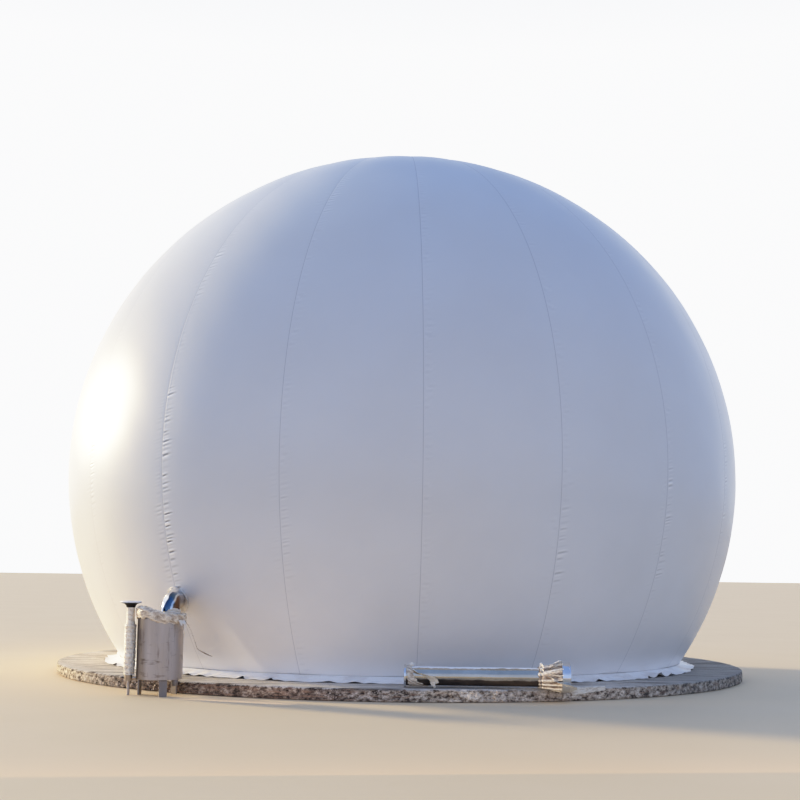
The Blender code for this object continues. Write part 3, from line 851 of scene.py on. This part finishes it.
def build_pot(stained_steel, steel, bare_steel):
    """The pot: rolled shell with one long weld, a lid, three legs and a drain."""
    angles = full_turn(288)[None, :]
    lowest = POT_BOTTOM + 0.004
    heights = np.concatenate([[lowest], np.linspace(POT_BOTTOM + 0.006, POT_TOP, 60)])[:, None]
    dent = 0.0012 * np.sin(3 * angles + 1.0) * np.sin(7.0 * heights)
    dent = dent + 0.0006 * np.sin(7 * angles + 9.0 * heights)
    weld = 0.0025 * bell(angles, math.tau + POT_WELD_ANGLE, 0.006 / POT_RADIUS)
    seam = 0.002 * bell(heights, POT_SEAM_HEIGHT, 0.004) * (0.6 + 0.4 * np.sin(60 * angles))
    rim = POT_RADIUS - 0.001
    radius = rim + dent + weld + seam
    shell = stacked(POT_PLACE[0] + radius * np.cos(angles), POT_PLACE[1] + radius * np.sin(angles), heights)
    floor = revolved([(0.0, POT_BOTTOM), (POT_RADIUS - 0.006, POT_BOTTOM), (rim, lowest)], POT_PLACE, 288)
    solid_piece("pot_body", "stainless_steel", [floor, Patch(shell, cap_last=True)], stained_steel)
    lid = revolved(disc(LID_RADIUS, LID_BOTTOM, LID_TOP), POT_PLACE, 192, 0.003)
    solid_piece("pot_lid", "stainless_steel", [lid], steel)

    top = POT_BOTTOM - SEATING
    bottom = top - DRAIN_LENGTH
    drain = revolved(
        [
            (0.0, top),
            (DRAIN_RADIUS, top),
            (DRAIN_RADIUS, bottom + DRAIN_THREAD),
            (DRAIN_RADIUS - 0.003, bottom + DRAIN_THREAD - 0.002),
            (DRAIN_RADIUS - 0.003, bottom),
            (DRAIN_RADIUS - DRAIN_WALL, bottom),
            (DRAIN_RADIUS - DRAIN_WALL, bottom + DRAIN_DEPTH),
            (0.0, bottom + DRAIN_DEPTH),
        ],
        (POT_PLACE[0] + DRAIN_OFFSET[0], POT_PLACE[1] + DRAIN_OFFSET[1]),
        64,
        flip=True,
    )
    solid_piece("drain_stub", "galvanised_steel", [drain], bare_steel)
    for index in range(3):
        build_leg(index, bare_steel)


def box_patch(size, matrix, edge):
    """A box with chamfered upright edges, as one closed ring with two caps."""
    x, y, z = (0.5 * part for part in size)
    outline = [(x - edge, -y), (x, -y + edge), (x, y - edge), (x - edge, y)]
    outline += [(-a, -b) for a, b in outline]
    rows = []
    for height, shrink in ((-z, 1.0 - edge / x), (-z + edge, 1.0), (z - edge, 1.0), (z, 1.0 - edge / x)):
        rows.append([(a * shrink, b * shrink, height) for a, b in outline])
    return Patch(moved(np.array(rows), matrix), cap_first=True, cap_last=True)


def build_leg(index, material):
    """A flat bar leg with a weld bead where it meets the pot's floor."""
    angle = LEG_ANGLE + index * math.tau / 3.0
    height = POT_BOTTOM - SEATING
    across = POT_PLACE[0] + LEG_RING_RADIUS * math.cos(angle)
    along = POT_PLACE[1] + LEG_RING_RADIUS * math.sin(angle)
    matrix = Matrix.Translation((across, along, height / 2.0)) @ Matrix.Rotation(angle, 4, "Z")
    bar = box_patch((LEG_THICKNESS, LEG_WIDTH, height), matrix, 0.002)
    bead_place = matrix @ Matrix.Translation((0.0, 0.0, height / 2.0 - 0.004))
    bead = box_patch((LEG_THICKNESS + 0.010, LEG_WIDTH + 0.006, 0.008), bead_place, 0.003)
    piece = solid_piece(f"pot_leg_{index + 1}", "galvanised_steel", [bar, bead], material)
    piece.data.shade_flat()


def build_vent(steel):
    """The vent pipe, open at its top, with a weld-neck flange."""
    top = VENT_TOP + VENT_FLANGE_THICKNESS
    bore = VENT_RADIUS - VENT_WALL
    floor = VENT_TOP - VENT_DEPTH
    outside = [(0.0, VENT_BOTTOM), (VENT_RADIUS, VENT_BOTTOM), (VENT_RADIUS, top)]
    pipe = revolved([*outside, (bore, top), (bore, floor), (0.0, floor)], VENT_PLACE, 96)
    solid_piece("vent_pipe", "stainless_steel", [pipe], steel)
    flange = revolved(
        [
            (VENT_RADIUS + 0.001, VENT_TOP - 0.055),
            (VENT_RADIUS + 0.007, VENT_TOP - 0.05),
            (VENT_RADIUS + 0.014, VENT_TOP - 0.028),
            (VENT_RADIUS + 0.034, VENT_TOP - 0.008),
            (VENT_FLANGE_RADIUS - 0.012, VENT_TOP),
            (VENT_FLANGE_RADIUS, VENT_TOP + 0.003),
            (VENT_FLANGE_RADIUS, top - 0.003),
            (VENT_FLANGE_RADIUS - 0.03, top),
            (VENT_RADIUS + 0.001, top),
        ],
        VENT_PLACE,
    )
    solid_piece("vent_flange", "stainless_steel", [flange], flange_material())


def elbow_frame():
    """The port's point on the membrane, its outward way, and the level way from elbow to port."""
    radius = float(membrane_radius(ELBOW_AXIS_HEIGHT))
    port = Vector(azimuth_points(radius - PORT_INSET, PORT_ANGLE, ELBOW_AXIS_HEIGHT))
    slope = (ELBOW_AXIS_HEIGHT - MEMBRANE_CENTRE_HEIGHT) / MEMBRANE_RISE**2
    outward = Vector(azimuth_points(radius / MEMBRANE_RADIUS**2, PORT_ANGLE, slope)).normalized()
    level = Vector((port.x - ELBOW_PLACE[0], port.y - ELBOW_PLACE[1], 0.0)).normalized()
    return port, outward, level


def bolt_patches(matrix, ring_radius, count, height, size):
    """Hexagon heads on washers round a flange face, whose outward way is the matrix's Z."""
    patches = []
    for index in range(count):
        angle = math.tau * (index + 0.5) / count
        place = (ring_radius * math.cos(angle), ring_radius * math.sin(angle))
        washer = disc(size * 1.25, height, height + WASHER_THICKNESS)
        patches.append(revolved(washer, place, 24, 0.0004, matrix))
        head = disc(size, height + WASHER_THICKNESS, height + size)
        patches.append(revolved(head, place, 6, 0.001, matrix, cap_last=True))
    return patches


def build_elbow(steel, dull_steel):
    """A mirror-bright pipe bend between a foot flange on the lid and a bolted port flange."""
    port, outward, level = elbow_frame()
    up = Vector((0.0, 0.0, 1.0))
    side = level.cross(up)
    start = Vector((*ELBOW_PLACE, ELBOW_AXIS_HEIGHT - ELBOW_BEND_RADIUS))
    stations = [(Vector((*ELBOW_PLACE, ELBOW_FOOT + rise)), level, 0.0) for rise in (0.0, 0.004)]
    for step in range(ELBOW_STEPS + 1):
        turn = math.pi / 2.0 * step / ELBOW_STEPS
        sideways = level * ELBOW_BEND_RADIUS * (1.0 - math.cos(turn))
        centre = start + sideways + up * ELBOW_BEND_RADIUS * math.sin(turn)
        inner_way = level * math.cos(turn) - up * math.sin(turn)
        stations.append((centre, inner_way, ELBOW_WELD * bell(step, ELBOW_STEPS - 2, 0.8)))
    angles = full_turn(144)[:, None]
    rows = []
    for centre, inner_way, swell in stations:
        spoke = np.cos(angles) * np.array(side) + np.sin(angles) * np.array(inner_way)
        rows.append(np.array(centre) + (ELBOW_RADIUS + swell) * spoke)
    face = port + outward * (PORT_FLANGE_THICKNESS + 2 * SEATING)
    last = rows[-1]
    distance = (np.array(face) - last) @ np.array(outward) / level.dot(outward)
    for share in (0.25, 0.5, 0.75, 1.0):
        rows.append(last + share * distance[:, None] * np.array(level))
    piece = solid_piece("elbow", "polished_steel", [Patch(np.array(rows))], elbow_material())
    set_attribute(piece, "bend_side", np.broadcast_to(np.cos(angles)[:, 0], (len(rows), len(angles))))

    profile = disc(ELBOW_FLANGE_RADIUS, LID_TOP + SEATING, ELBOW_FOOT - SEATING)
    foot = revolved(profile, ELBOW_PLACE, corner=0.002)
    solid_piece("elbow_flange", "stainless_steel", [foot], steel)
    matrix = along_axis(port, port + outward)
    middle = 0.5 * (PORT_FLANGE_RADIUS + ELBOW_RADIUS)
    plate = revolved(
        [
            (0.0, SEATING),
            (PORT_FLANGE_RADIUS, SEATING),
            (PORT_FLANGE_RADIUS, 0.011),
            (PORT_FLANGE_RADIUS - 0.004, PORT_FACE),
            (middle + 0.02, PORT_FACE),
            (middle + 0.012, PORT_FLANGE_THICKNESS),
            (0.0, PORT_FLANGE_THICKNESS),
        ],
        columns=144,
        corner=0.002,
        matrix=matrix,
    )
    bolts = bolt_patches(matrix, PORT_BOLT_RING, PORT_BOLTS, PORT_FACE, PORT_BOLT_SIZE)
    solid_piece("port_flange", "stainless_steel", [plate, *bolts], dull_steel)


def build_spool(polished):
    """An open pipe with a flange at its left and a collar at its right; its shell is slightly wavy."""
    matrix = along_axis(SPOOL_LEFT, SPOOL_RIGHT)
    length = SPOOL_LENGTH
    outside = SPOOL_RADIUS - SPOOL_INSET
    angles = full_turn(144)[None, :]
    weld_place = SPOOL_WELD_SHARE * length
    beside_weld = np.linspace(weld_place - 0.009, weld_place + 0.009, 13)
    places = np.unique(np.concatenate([np.linspace(0.0, length, 150), beside_weld]))[:, None]
    wave = 0.00035 * np.sin(2 * angles + 9.0 * places) + 0.0002 * np.sin(3 * angles - 23.0 * places + 1.0)
    wave = wave + 0.0001 * np.sin(5 * angles + 71.0 * places)
    radius = outside + wave + 0.0016 * bell(places, weld_place, 0.003)
    shell = stacked(radius * np.cos(angles), radius * np.sin(angles), places)
    patches = [Patch(moved(shell, matrix))]
    for line in (
        [(SPOOL_BORE, 0.0), (SPOOL_BORE, length)],
        [(outside, 0.0), (SPOOL_BORE, 0.0)],
        [(SPOOL_BORE, length), (outside, length)],
    ):
        patches.append(revolved(line, columns=144, matrix=matrix, flip=True))
    solid_piece("spool_pipe", "polished_steel", patches, spool_material())

    inner = SPOOL_RADIUS + SPOOL_FLANGE_GAP
    start = length - SPOOL_COLLAR_LENGTH
    wide = SPOOL_COLLAR_RADIUS
    waist = wide - 0.004
    collar = [(wide, start), (wide, start + 0.012), (waist, start + 0.018)]
    collar += [(waist, length - 0.018), (wide, length - 0.012), (wide, length)]
    flange = [(SPOOL_FLANGE_RADIUS, 0.0), (SPOOL_FLANGE_RADIUS, SPOOL_FLANGE_THICKNESS)]
    for name, outline in (("left", flange), ("right", collar)):
        first = (inner, outline[0][1])
        last = (inner, outline[-1][1])
        ring = revolved([first, *outline, last, first], columns=160, corner=0.003, matrix=matrix)
        solid_piece(f"spool_flange_{name}", "polished_steel", [ring], polished)


def film_piece(node_name, patches, material):
    piece = patch_piece(f"film_{node_name}", node_name, patches, material)
    # Each point's painted light and shade, kept as an attribute.
    set_attribute(piece, "painted_fold_light", np.concatenate([patch.painted_fold_light.reshape(-1) for patch in patches]))


def build_rim_film(material):
    """Film tied round the pot's rim, heaped up beside the elbow, with loose ends on the right."""
    angles = full_turn(540, -math.pi)
    heap = np.maximum(0.0, np.cos(angles - math.radians(-55))) ** 1.5
    sag = np.maximum(0.0, np.cos(angles - math.radians(60))) ** 2
    bottom = 0.862 + 0.05 * heap - 0.02 * sag + 0.012 * ring_noise(angles, (3, 5, 8, 13, 19), 21)
    top = 0.972 + 0.085 * heap + 0.006 * ring_noise(angles, (4, 7, 11), 22) * (0.3 + heap)
    inner = LID_RADIUS - 0.01 - 0.09 * heap
    radius = spans((0.284, 0.300, 0.303, 0.292 - 0.02 * heap, inner, inner), 44)
    height = spans((bottom, bottom + 0.03, top - 0.03, top - 0.006, top - 0.012, LID_TOP + 0.01), 44)
    around = angles[None, :] * 0.3
    folds = creases(0.4 * around, 1.5 * height + 0.2 * around, 0.06, 23)
    folds = folds + 0.35 * creases(1.2 * around, 3.0 * height, 0.035, 24)
    radius = radius + 0.014 * folds
    height = height + 0.010 * creases(around, radius, 0.06, 25) * (height > 0.9)
    least = np.where(height < LID_BOTTOM - 0.004, POT_RADIUS + 0.004, LID_RADIUS + 0.003)
    radius = np.where(height > LID_TOP + 0.004, radius, np.maximum(radius, least))
    points = azimuth_points(np.minimum(radius, RIM_FILM_REACH), angles[None, :], height, POT_PLACE)
    patches = [Patch(points, flip=True, painted_fold_light=0.38 + 0.55 * folds)]
    hanging = [(-2.61, -4.70, 0.89), (-2.585, -4.72, 0.83), (-2.56, -4.725, 0.76), (-2.545, -4.72, 0.70)]
    short = [(-2.60, -4.62, 0.90), (-2.56, -4.66, 0.85), (-2.55, -4.66, 0.79)]
    sideways = [(-2.58, -4.56, 0.93), (-2.52, -4.60, 0.935), (-2.44, -4.62, 0.915), (-2.37, -4.63, 0.86)]
    thread = [(-2.57, -4.60, 0.88), (-2.50, -4.64, 0.80), (-2.44, -4.66, 0.66)]
    thread += [(-2.40, -4.66, 0.55), (-2.30, -4.66, 0.50), (-2.22, -4.66, 0.47)]
    strips = (
        (hanging, (0.05, 0.045, 0.03, 0.012), 0.9, 0.75),
        (short, (0.05, 0.04, 0.015), -0.7, 0.75),
        (sideways, (0.03, 0.012, 0.006, 0.004), 0.5, 0.75),
        (thread, (0.02, 0.008, 0.006, 0.006, 0.014, 0.004), 2.0, 0.0),
    )
    for number, (path, widths, twist, painted_fold_light) in enumerate(strips):
        patches.append(strip_patch(path, widths, 30 + number, painted_fold_light, twist=twist, crumple=0.006))
    film_piece("pot_rim_film", patches, material)


def build_vent_film(material):
    """Film wound up the vent pipe in many narrow turns, thick up to the pot's rim."""
    angles = full_turn(120, -math.pi)[None, :]
    heights = np.linspace(VENT_FILM_HEIGHTS[0], VENT_FILM_HEIGHTS[-1], 330)[:, None]
    base = np.interp(heights, VENT_FILM_HEIGHTS, VENT_FILM_RADII)
    base = base + 0.002 * np.sin(31.0 * heights) + 0.002 * np.sin(53.0 * heights + 2.0)
    turns = heights / 0.052 + angles / math.tau + 0.25 * np.sin(9.0 * heights)
    turns = turns + 0.12 * np.sin(2 * angles + 5.0 * heights)
    winding = (turns % 1.0) ** 2
    fine = creases(angles * 0.05, 2.2 * heights, 0.05, 41)
    bulge = 0.009 * np.maximum(0.0, np.sin(angles)) * (heights < 0.86)
    radius = base + 0.008 * winding + 0.012 * fine + bulge
    reach = np.where(heights > VENT_FILM_THIN_FROM, VENT_FILM_THIN_REACH, VENT_FILM_REACH) + bulge
    radius = np.clip(radius, VENT_RADIUS + 0.001, reach)
    points = azimuth_points(radius, angles, heights, VENT_PLACE)
    # The sleeve's painted light and shade, painted lighter overall.
    sleeve = Patch(points, flip=True, painted_fold_light=0.52 + 0.38 * winding + 0.55 * fine)
    film_piece("vent_film", [sleeve], material)


def build_elbow_film(material):
    """A torn collar of film at the elbow's foot."""
    angles = full_turn(220, -math.pi)
    open_side = np.maximum(0.0, np.cos(angles - math.radians(40))) ** 1.5
    top = 0.972 + 0.05 * open_side + 0.006 * ring_noise(angles, (5, 9, 14), 51)
    height = spans((LID_TOP + 0.0165, 0.5 * (top + 0.95), top), 18)
    radius = spans((0.1265, 0.122, 0.1155 + 0.012 * open_side), 18)
    radius = radius + 0.010 * creases(angles * 0.12, 1.5 * height, 0.05, 52)
    radius = np.clip(radius, ELBOW_RADIUS + 0.0015, 0.1295 + 0.01 * open_side)
    collar = Patch(azimuth_points(radius, angles, height, ELBOW_PLACE), flip=True)
    film_piece("elbow_film", [collar], material)


def around_spool(radius, angles, place):
    """Points round the spool: angles from straight up, counted towards the camera."""
    axis = np.array(along_axis(SPOOL_LEFT, SPOOL_RIGHT).to_3x3())[:, 2]
    up = np.array((0.0, 0.0, 1.0))
    front = np.cross(up, axis)
    front = -front if front[1] > 0 else front
    radius, angles, place = (part[..., None] for part in np.broadcast_arrays(radius, angles, place))
    return np.array(SPOOL_LEFT) + axis * place + radius * (up * np.cos(angles) + front * np.sin(angles))


def spool_path(*points):
    """A path through points given as radius, angle and place along the spool."""
    return around_spool(*np.array(points).T)


def build_spool_film_left(material):
    """Torn film behind the small flange: a knot on top, a swag in front, most of it underneath."""
    angles = full_turn(240, -math.pi)
    low = (0.5 - 0.5 * np.cos(angles - 0.5)) ** 1.5
    share = np.linspace(0.0, 1.0, 70)[:, None]
    start = 0.030 + 0.04 * low + 0.006 * ring_noise(angles, (3, 6, 11), 61)
    end = 0.095 + 0.22 * low + 0.012 * ring_noise(angles, (4, 9, 15), 62)
    place = start + (end - start) * share
    slant = angles[None, :] * SPOOL_RADIUS
    folds = creases(slant - 0.8 * place, 0.25 * place, 0.045, 63) + 0.5 * creases(slant, place, 0.05, 64)
    radius = SPOOL_RADIUS + np.clip(0.0065 + 0.012 * folds, 0.0012, 0.0138)
    sleeve = around_spool(radius, angles[None, :], place)

    across, along, axis_height = SPOOL_LEFT
    share = np.linspace(0.0, 1.0, 26)[:, None]
    around = full_turn(48)[None, :]
    girth = 0.022 + 0.012 * np.sin(math.pi * share) + 0.008 * creases(0.03 * around, 0.06 * share, 0.03, 67)
    knot = stacked(
        across + 0.082 + 0.012 * share + girth * np.cos(around) * (1.0 - 0.85 * share**4),
        along - 0.005 + girth * np.sin(around) * (1.0 - 0.85 * share**4),
        axis_height + SPOOL_RADIUS + 0.002 + 0.048 * share,
    )
    swag_path = [
        (across + 0.10, along - 0.085, 0.37),
        (across + 0.17, along - 0.125, 0.32),
        (across + 0.26, along - 0.132, 0.285),
        (across + 0.34, along - 0.131, 0.245),
        (across + 0.37, along - 0.118, 0.195),
        (across + 0.345, along - 0.10, 0.165),
    ]
    widths = (0.05, 0.07, 0.09, 0.11, 0.09, 0.04)
    patches = [Patch(sleeve, painted_fold_light=0.38 + 0.5 * folds), Patch(knot, painted_fold_light=0.95)]
    patches.append(strip_patch(swag_path, widths, 68, 0.55, columns=21, rows=90, twist=1.3, crumple=0.008))
    film_piece("spool_film_left", patches, material)


def build_spool_film_right(material):
    """A cover tied to the pipe on the left and pulled over the collar's edge in fanned folds."""
    angles = full_turn(360, -math.pi)[None, :]
    share = np.linspace(0.0, 1.0, 90)[:, None]
    far = SPOOL_LENGTH - SPOOL_COLLAR_LENGTH - 0.002
    neck = far - SPOOL_CONE_LENGTH
    start = neck + 0.008 * ring_noise(angles, (3, 7, 12), 65)
    place = start + (far - start) * share
    outer = 0.0145 + 0.055 * share
    fan = np.abs(np.sin(5.5 * angles + 0.9 * np.sin(3.0 * angles) + 1.1 * share)) ** 0.8
    fine = creases(angles * (SPOOL_RADIUS + 0.03), 0.35 * place, 0.06, 66)
    tied = 1.0 - 0.6 * bell(share, 0.13, 0.035)
    lift = outer * (1.0 - 0.55 * fan * (0.4 + 0.6 * share)) * tied + 0.008 * fine
    radius = SPOOL_RADIUS + np.clip(lift, 0.0012, outer)
    patches = [Patch(around_spool(radius, angles, place), painted_fold_light=0.80 - 0.80 * fan + 0.4 * fine)]

    turn = np.linspace(0.0, math.tau, 7)
    for number, (angle, size) in enumerate(((0.35, 0.05), (0.95, 0.04), (-0.3, 0.035))):
        centre = spool_path((SPOOL_RADIUS + 0.020, angle, neck + 0.035))
        path = centre + stacked(0.35 * size * np.cos(turn), -0.012 * np.sin(2 * turn), size * np.sin(turn))
        patches.append(strip_patch(path, 0.022, 80 + number, 0.8, columns=7, twist=2.0, crumple=0.004))
    for number, angle in enumerate((0.1, 0.5, 0.95, 1.35, 1.8)):
        path = spool_path(
            (SPOOL_RADIUS + 0.014, 1.3 - 0.25 * angle, neck + 0.03),
            (SPOOL_RADIUS + 0.040, 0.5 * (1.2 + angle), neck + 0.13),
            (SPOOL_RADIUS + 0.066, angle + 0.05, far - 0.04),
            (SPOOL_COLLAR_RADIUS + 0.008, angle, far + 0.012),
        )
        widths = (0.010, 0.016, 0.020, 0.014)
        shape = {"columns": 7, "rows": 50, "twist": 1.2, "crumple": 0.004}
        patches.append(strip_patch(path, widths, 90 + number, 0.9, **shape))
    peak = spool_path(
        (0.145, 0.15, far - 0.15),
        (0.168, 0.1, far - 0.07),
        (0.198, 0.05, far - 0.012),
        (0.187, 0.0, far + 0.014),
    )
    patches.append(strip_patch(peak, (0.03, 0.05, 0.06, 0.03), 84, 0.85, rows=50))
    sweep = spool_path(
        (SPOOL_RADIUS + 0.045, 1.7, neck + 0.14),
        (SPOOL_COLLAR_RADIUS + 0.008, 1.9, far - 0.02),
        (SPOOL_COLLAR_RADIUS + 0.012, 2.05, far + 0.05),
    )
    path = [*sweep, (2.02, -4.88, 0.165), (2.06, -4.74, 0.125)]
    widths = (0.05, 0.10, 0.11, 0.11, 0.08)
    patches.append(strip_patch(path, widths, 97, 0.65, columns=15, rows=70, twist=0.5, crumple=0.012))
    film_piece("spool_film_right", patches, material)


def build_film_tail(material):
    """A strip of film draped over the slab's rim: part of its width lies on top, the rest hangs."""
    share = np.linspace(0.0, 1.0, 160)[:, None]
    across = np.linspace(0.0, 1.0, 29)[None, :]
    angle = TAIL_START + (TAIL_END - TAIL_START) * share
    size = (1.0 - TAIL_NARROWING * share) * np.clip(share / 0.02, 0.8, 1.0)
    folds = creases(0.16 * share, 0.14 * across + 0.05 * share, 0.07, 71)
    lift = TAIL_STANDOFF + 0.010 * np.clip(0.5 + folds, 0.0, 1.0)
    on_top = TAIL_ON_TOP * size
    past_rim = across * (on_top + TAIL_HANG * size) - on_top
    hang = np.maximum(past_rim, 0.0)
    hangs = past_rim > 0.0
    bend = 0.5 * lift * bell(past_rim, 0.0, 0.02)
    radius = SLAB_RADIUS + np.minimum(past_rim, 0.0) + np.where(hangs, lift, bend)
    height = SLAB_HEIGHT - hang + np.where(hangs, bend, lift)
    tail = Patch(azimuth_points(radius, angle, height), wrap=False, painted_fold_light=0.5 + 0.4 * folds)
    film_piece("film_tail", [tail], material)


def dress_cad_nodes(materials):
    """Give the CAD nodes that stay their finished material."""
    for part in frame["record"]["subparts"]:
        for material_slot in frame["nodes"][part["node"]].material_slots:
            material_slot.material = materials[part["material_slot"]]


def build_floor():
    half = FLOOR_SIZE / 2.0
    mesh = bpy.data.meshes.new("floor")
    corners = [(-half, -half, 0.0), (half, -half, 0.0), (half, half, 0.0), (-half, half, 0.0)]
    mesh.from_pydata(corners, [], [(0, 1, 2, 3)])
    look = Look("floor", 0.7)
    tone = look.spread(look.noise(0.5, 3.0), 0.3, 0.7)
    mesh.materials.append(look.done(look.mix(tone, FLOOR_DARK, FLOOR_PALE)))
    floor = add_object("floor", mesh)
    floor.location.z = -FLOOR_DROP


def add_light(name, kind, power, colour, back, place=(0.0, 0.0, 0.0)):
    """A light that shines opposite to the way its back points."""
    data = bpy.data.lights.new(name, kind)
    data.energy = power
    data.color = colour
    light = add_object(name, data)
    light.location = place
    light.rotation_euler = back.to_track_quat("Z", "Y").to_euler()
    return light


def add_fill(name, place, aim, size, power, colour):
    """An area light that isn't seen itself."""
    light = add_light(name, "AREA", power, colour, Vector(place) - Vector(aim), place)
    light.data.shape = "RECTANGLE"
    light.data.size, light.data.size_y = size
    light.visible_camera = False
    light.visible_glossy = False


def add_spot(name, place, aim, degrees, power):
    """A warm narrow beam that picks out the film on one of the small parts."""
    light = add_light(name, "SPOT", power, SPOT_COLOUR, Vector(place) - Vector(aim), place)
    light.data.spot_size = math.radians(degrees)
    light.data.spot_blend = SPOT_BLEND
    light.data.shadow_soft_size = SPOT_LAMP_RADIUS
    light.visible_glossy = False


def build_light():
    way = Vector(azimuth_points(math.cos(SUN_ELEVATION), SUN_AZIMUTH, math.sin(SUN_ELEVATION)))
    sun = add_light("warm_sun", "SUN", SUN_STRENGTH, SUN_COLOUR, way)
    sun.data.angle = SUN_ANGLE
    add_fill("warm_fill", *WARM_FILL)
    add_fill("foot_fill", *FOOT_FILL)
    add_spot("pot_spot", *POT_SPOT)
    add_spot("spool_spot", *SPOOL_SPOT)

    world = bpy.data.worlds.new("soft_light")
    bpy.context.scene.world = world
    world.use_nodes = True
    sky = Nodes(world.node_tree)
    way = sky.add("TexCoord").outputs["Generated"]
    low_sky = sky.mix(sky.spread(sky.axis(way, "Y"), *WHITE_SKY_EDGE), COOL_SKY, WHITE_SKY)
    clear_sky = sky.mix(sky.spread(sky.axis(way, "Z"), *TOP_SKY_EDGE), low_sky, TOP_SKY)
    towards = sky.add("VectorMath", {0: way, 1: GLOW_DIRECTION}, operation="DOT_PRODUCT")
    glow = sky.spread(towards.outputs["Value"], GLOW_EDGE, 1.0)
    background = sky.tree.nodes["Background"]
    sky.tree.links.new(sky.mix(glow, clear_sky, GLOW_SKY), background.inputs["Color"])


def set_tone():
    """A straight response that bends over gently from 0.6 of white upwards."""
    view = bpy.context.scene.view_settings
    view.view_transform = "Standard"
    view.use_curve_mapping = True
    mapping = view.curve_mapping
    mapping.white_level = (TONE_WHITE, TONE_WHITE, TONE_WHITE)
    curve = mapping.curves[3]
    for light, shown in TONE_POINTS:
        curve.points.new(light / TONE_WHITE, shown)
    mapping.update()


def build_camera():
    yaw, pitch, roll = CAMERA_YAW, CAMERA_PITCH, CAMERA_ROLL
    ahead = Vector((math.sin(yaw) * math.cos(pitch), math.cos(yaw) * math.cos(pitch), math.sin(pitch)))
    level = Vector((math.cos(yaw), -math.sin(yaw), 0.0))
    upright = level.cross(ahead)
    right = level * math.cos(roll) + upright * math.sin(roll)
    up = upright * math.cos(roll) - level * math.sin(roll)
    data = bpy.data.cameras.new("camera")
    data.sensor_width = SENSOR_WIDTH
    data.lens = FOCAL_PIXELS / IMAGE_SIZE * SENSOR_WIDTH
    camera = add_object("camera", data)
    turn = Matrix((right, up, -ahead)).transposed().to_4x4()
    camera.matrix_world = Matrix.Translation(CAMERA_LOCATION) @ turn
    bpy.context.scene.camera = camera


def main():
    set_tone()
    membrane = membrane_material()
    bare_steel = steel_material("galvanised_steel", (0.36, 0.32, 0.30), 0.5, (1.0, 1.0, 0.3))
    steel = steel_material("stainless_steel", (0.60, 0.53, 0.48), 0.33, (1.0, 1.0, 0.1))
    dull_steel = steel_material("dusty_steel", (0.92, 0.88, 0.82), 0.6, (1.0, 1.0, 1.0), 0.15)
    concrete = concrete_material()
    polished = polished_material()
    film = film_material()
    dress_cad_nodes(
        {
            "membrane": membrane,
            "concrete": concrete,
            "galvanised_steel": bare_steel,
            "stainless_steel": steel,
            "polished_steel": polished,
            "packing_film": film,
        }
    )
    for number in range(GORE_COUNT):
        build_gore(number, membrane)
    build_crown(membrane)
    build_skirt(skirt_material())
    build_slab(concrete)
    build_pot(pot_material(), steel, bare_steel)
    build_vent(steel)
    build_elbow(steel, dull_steel)
    build_spool(polished)
    build_rim_film(film)
    build_vent_film(film)
    build_elbow_film(film)
    build_spool_film_left(film)
    build_spool_film_right(film)
    build_film_tail(film)
    build_floor()
    build_light()
    build_camera()


main()
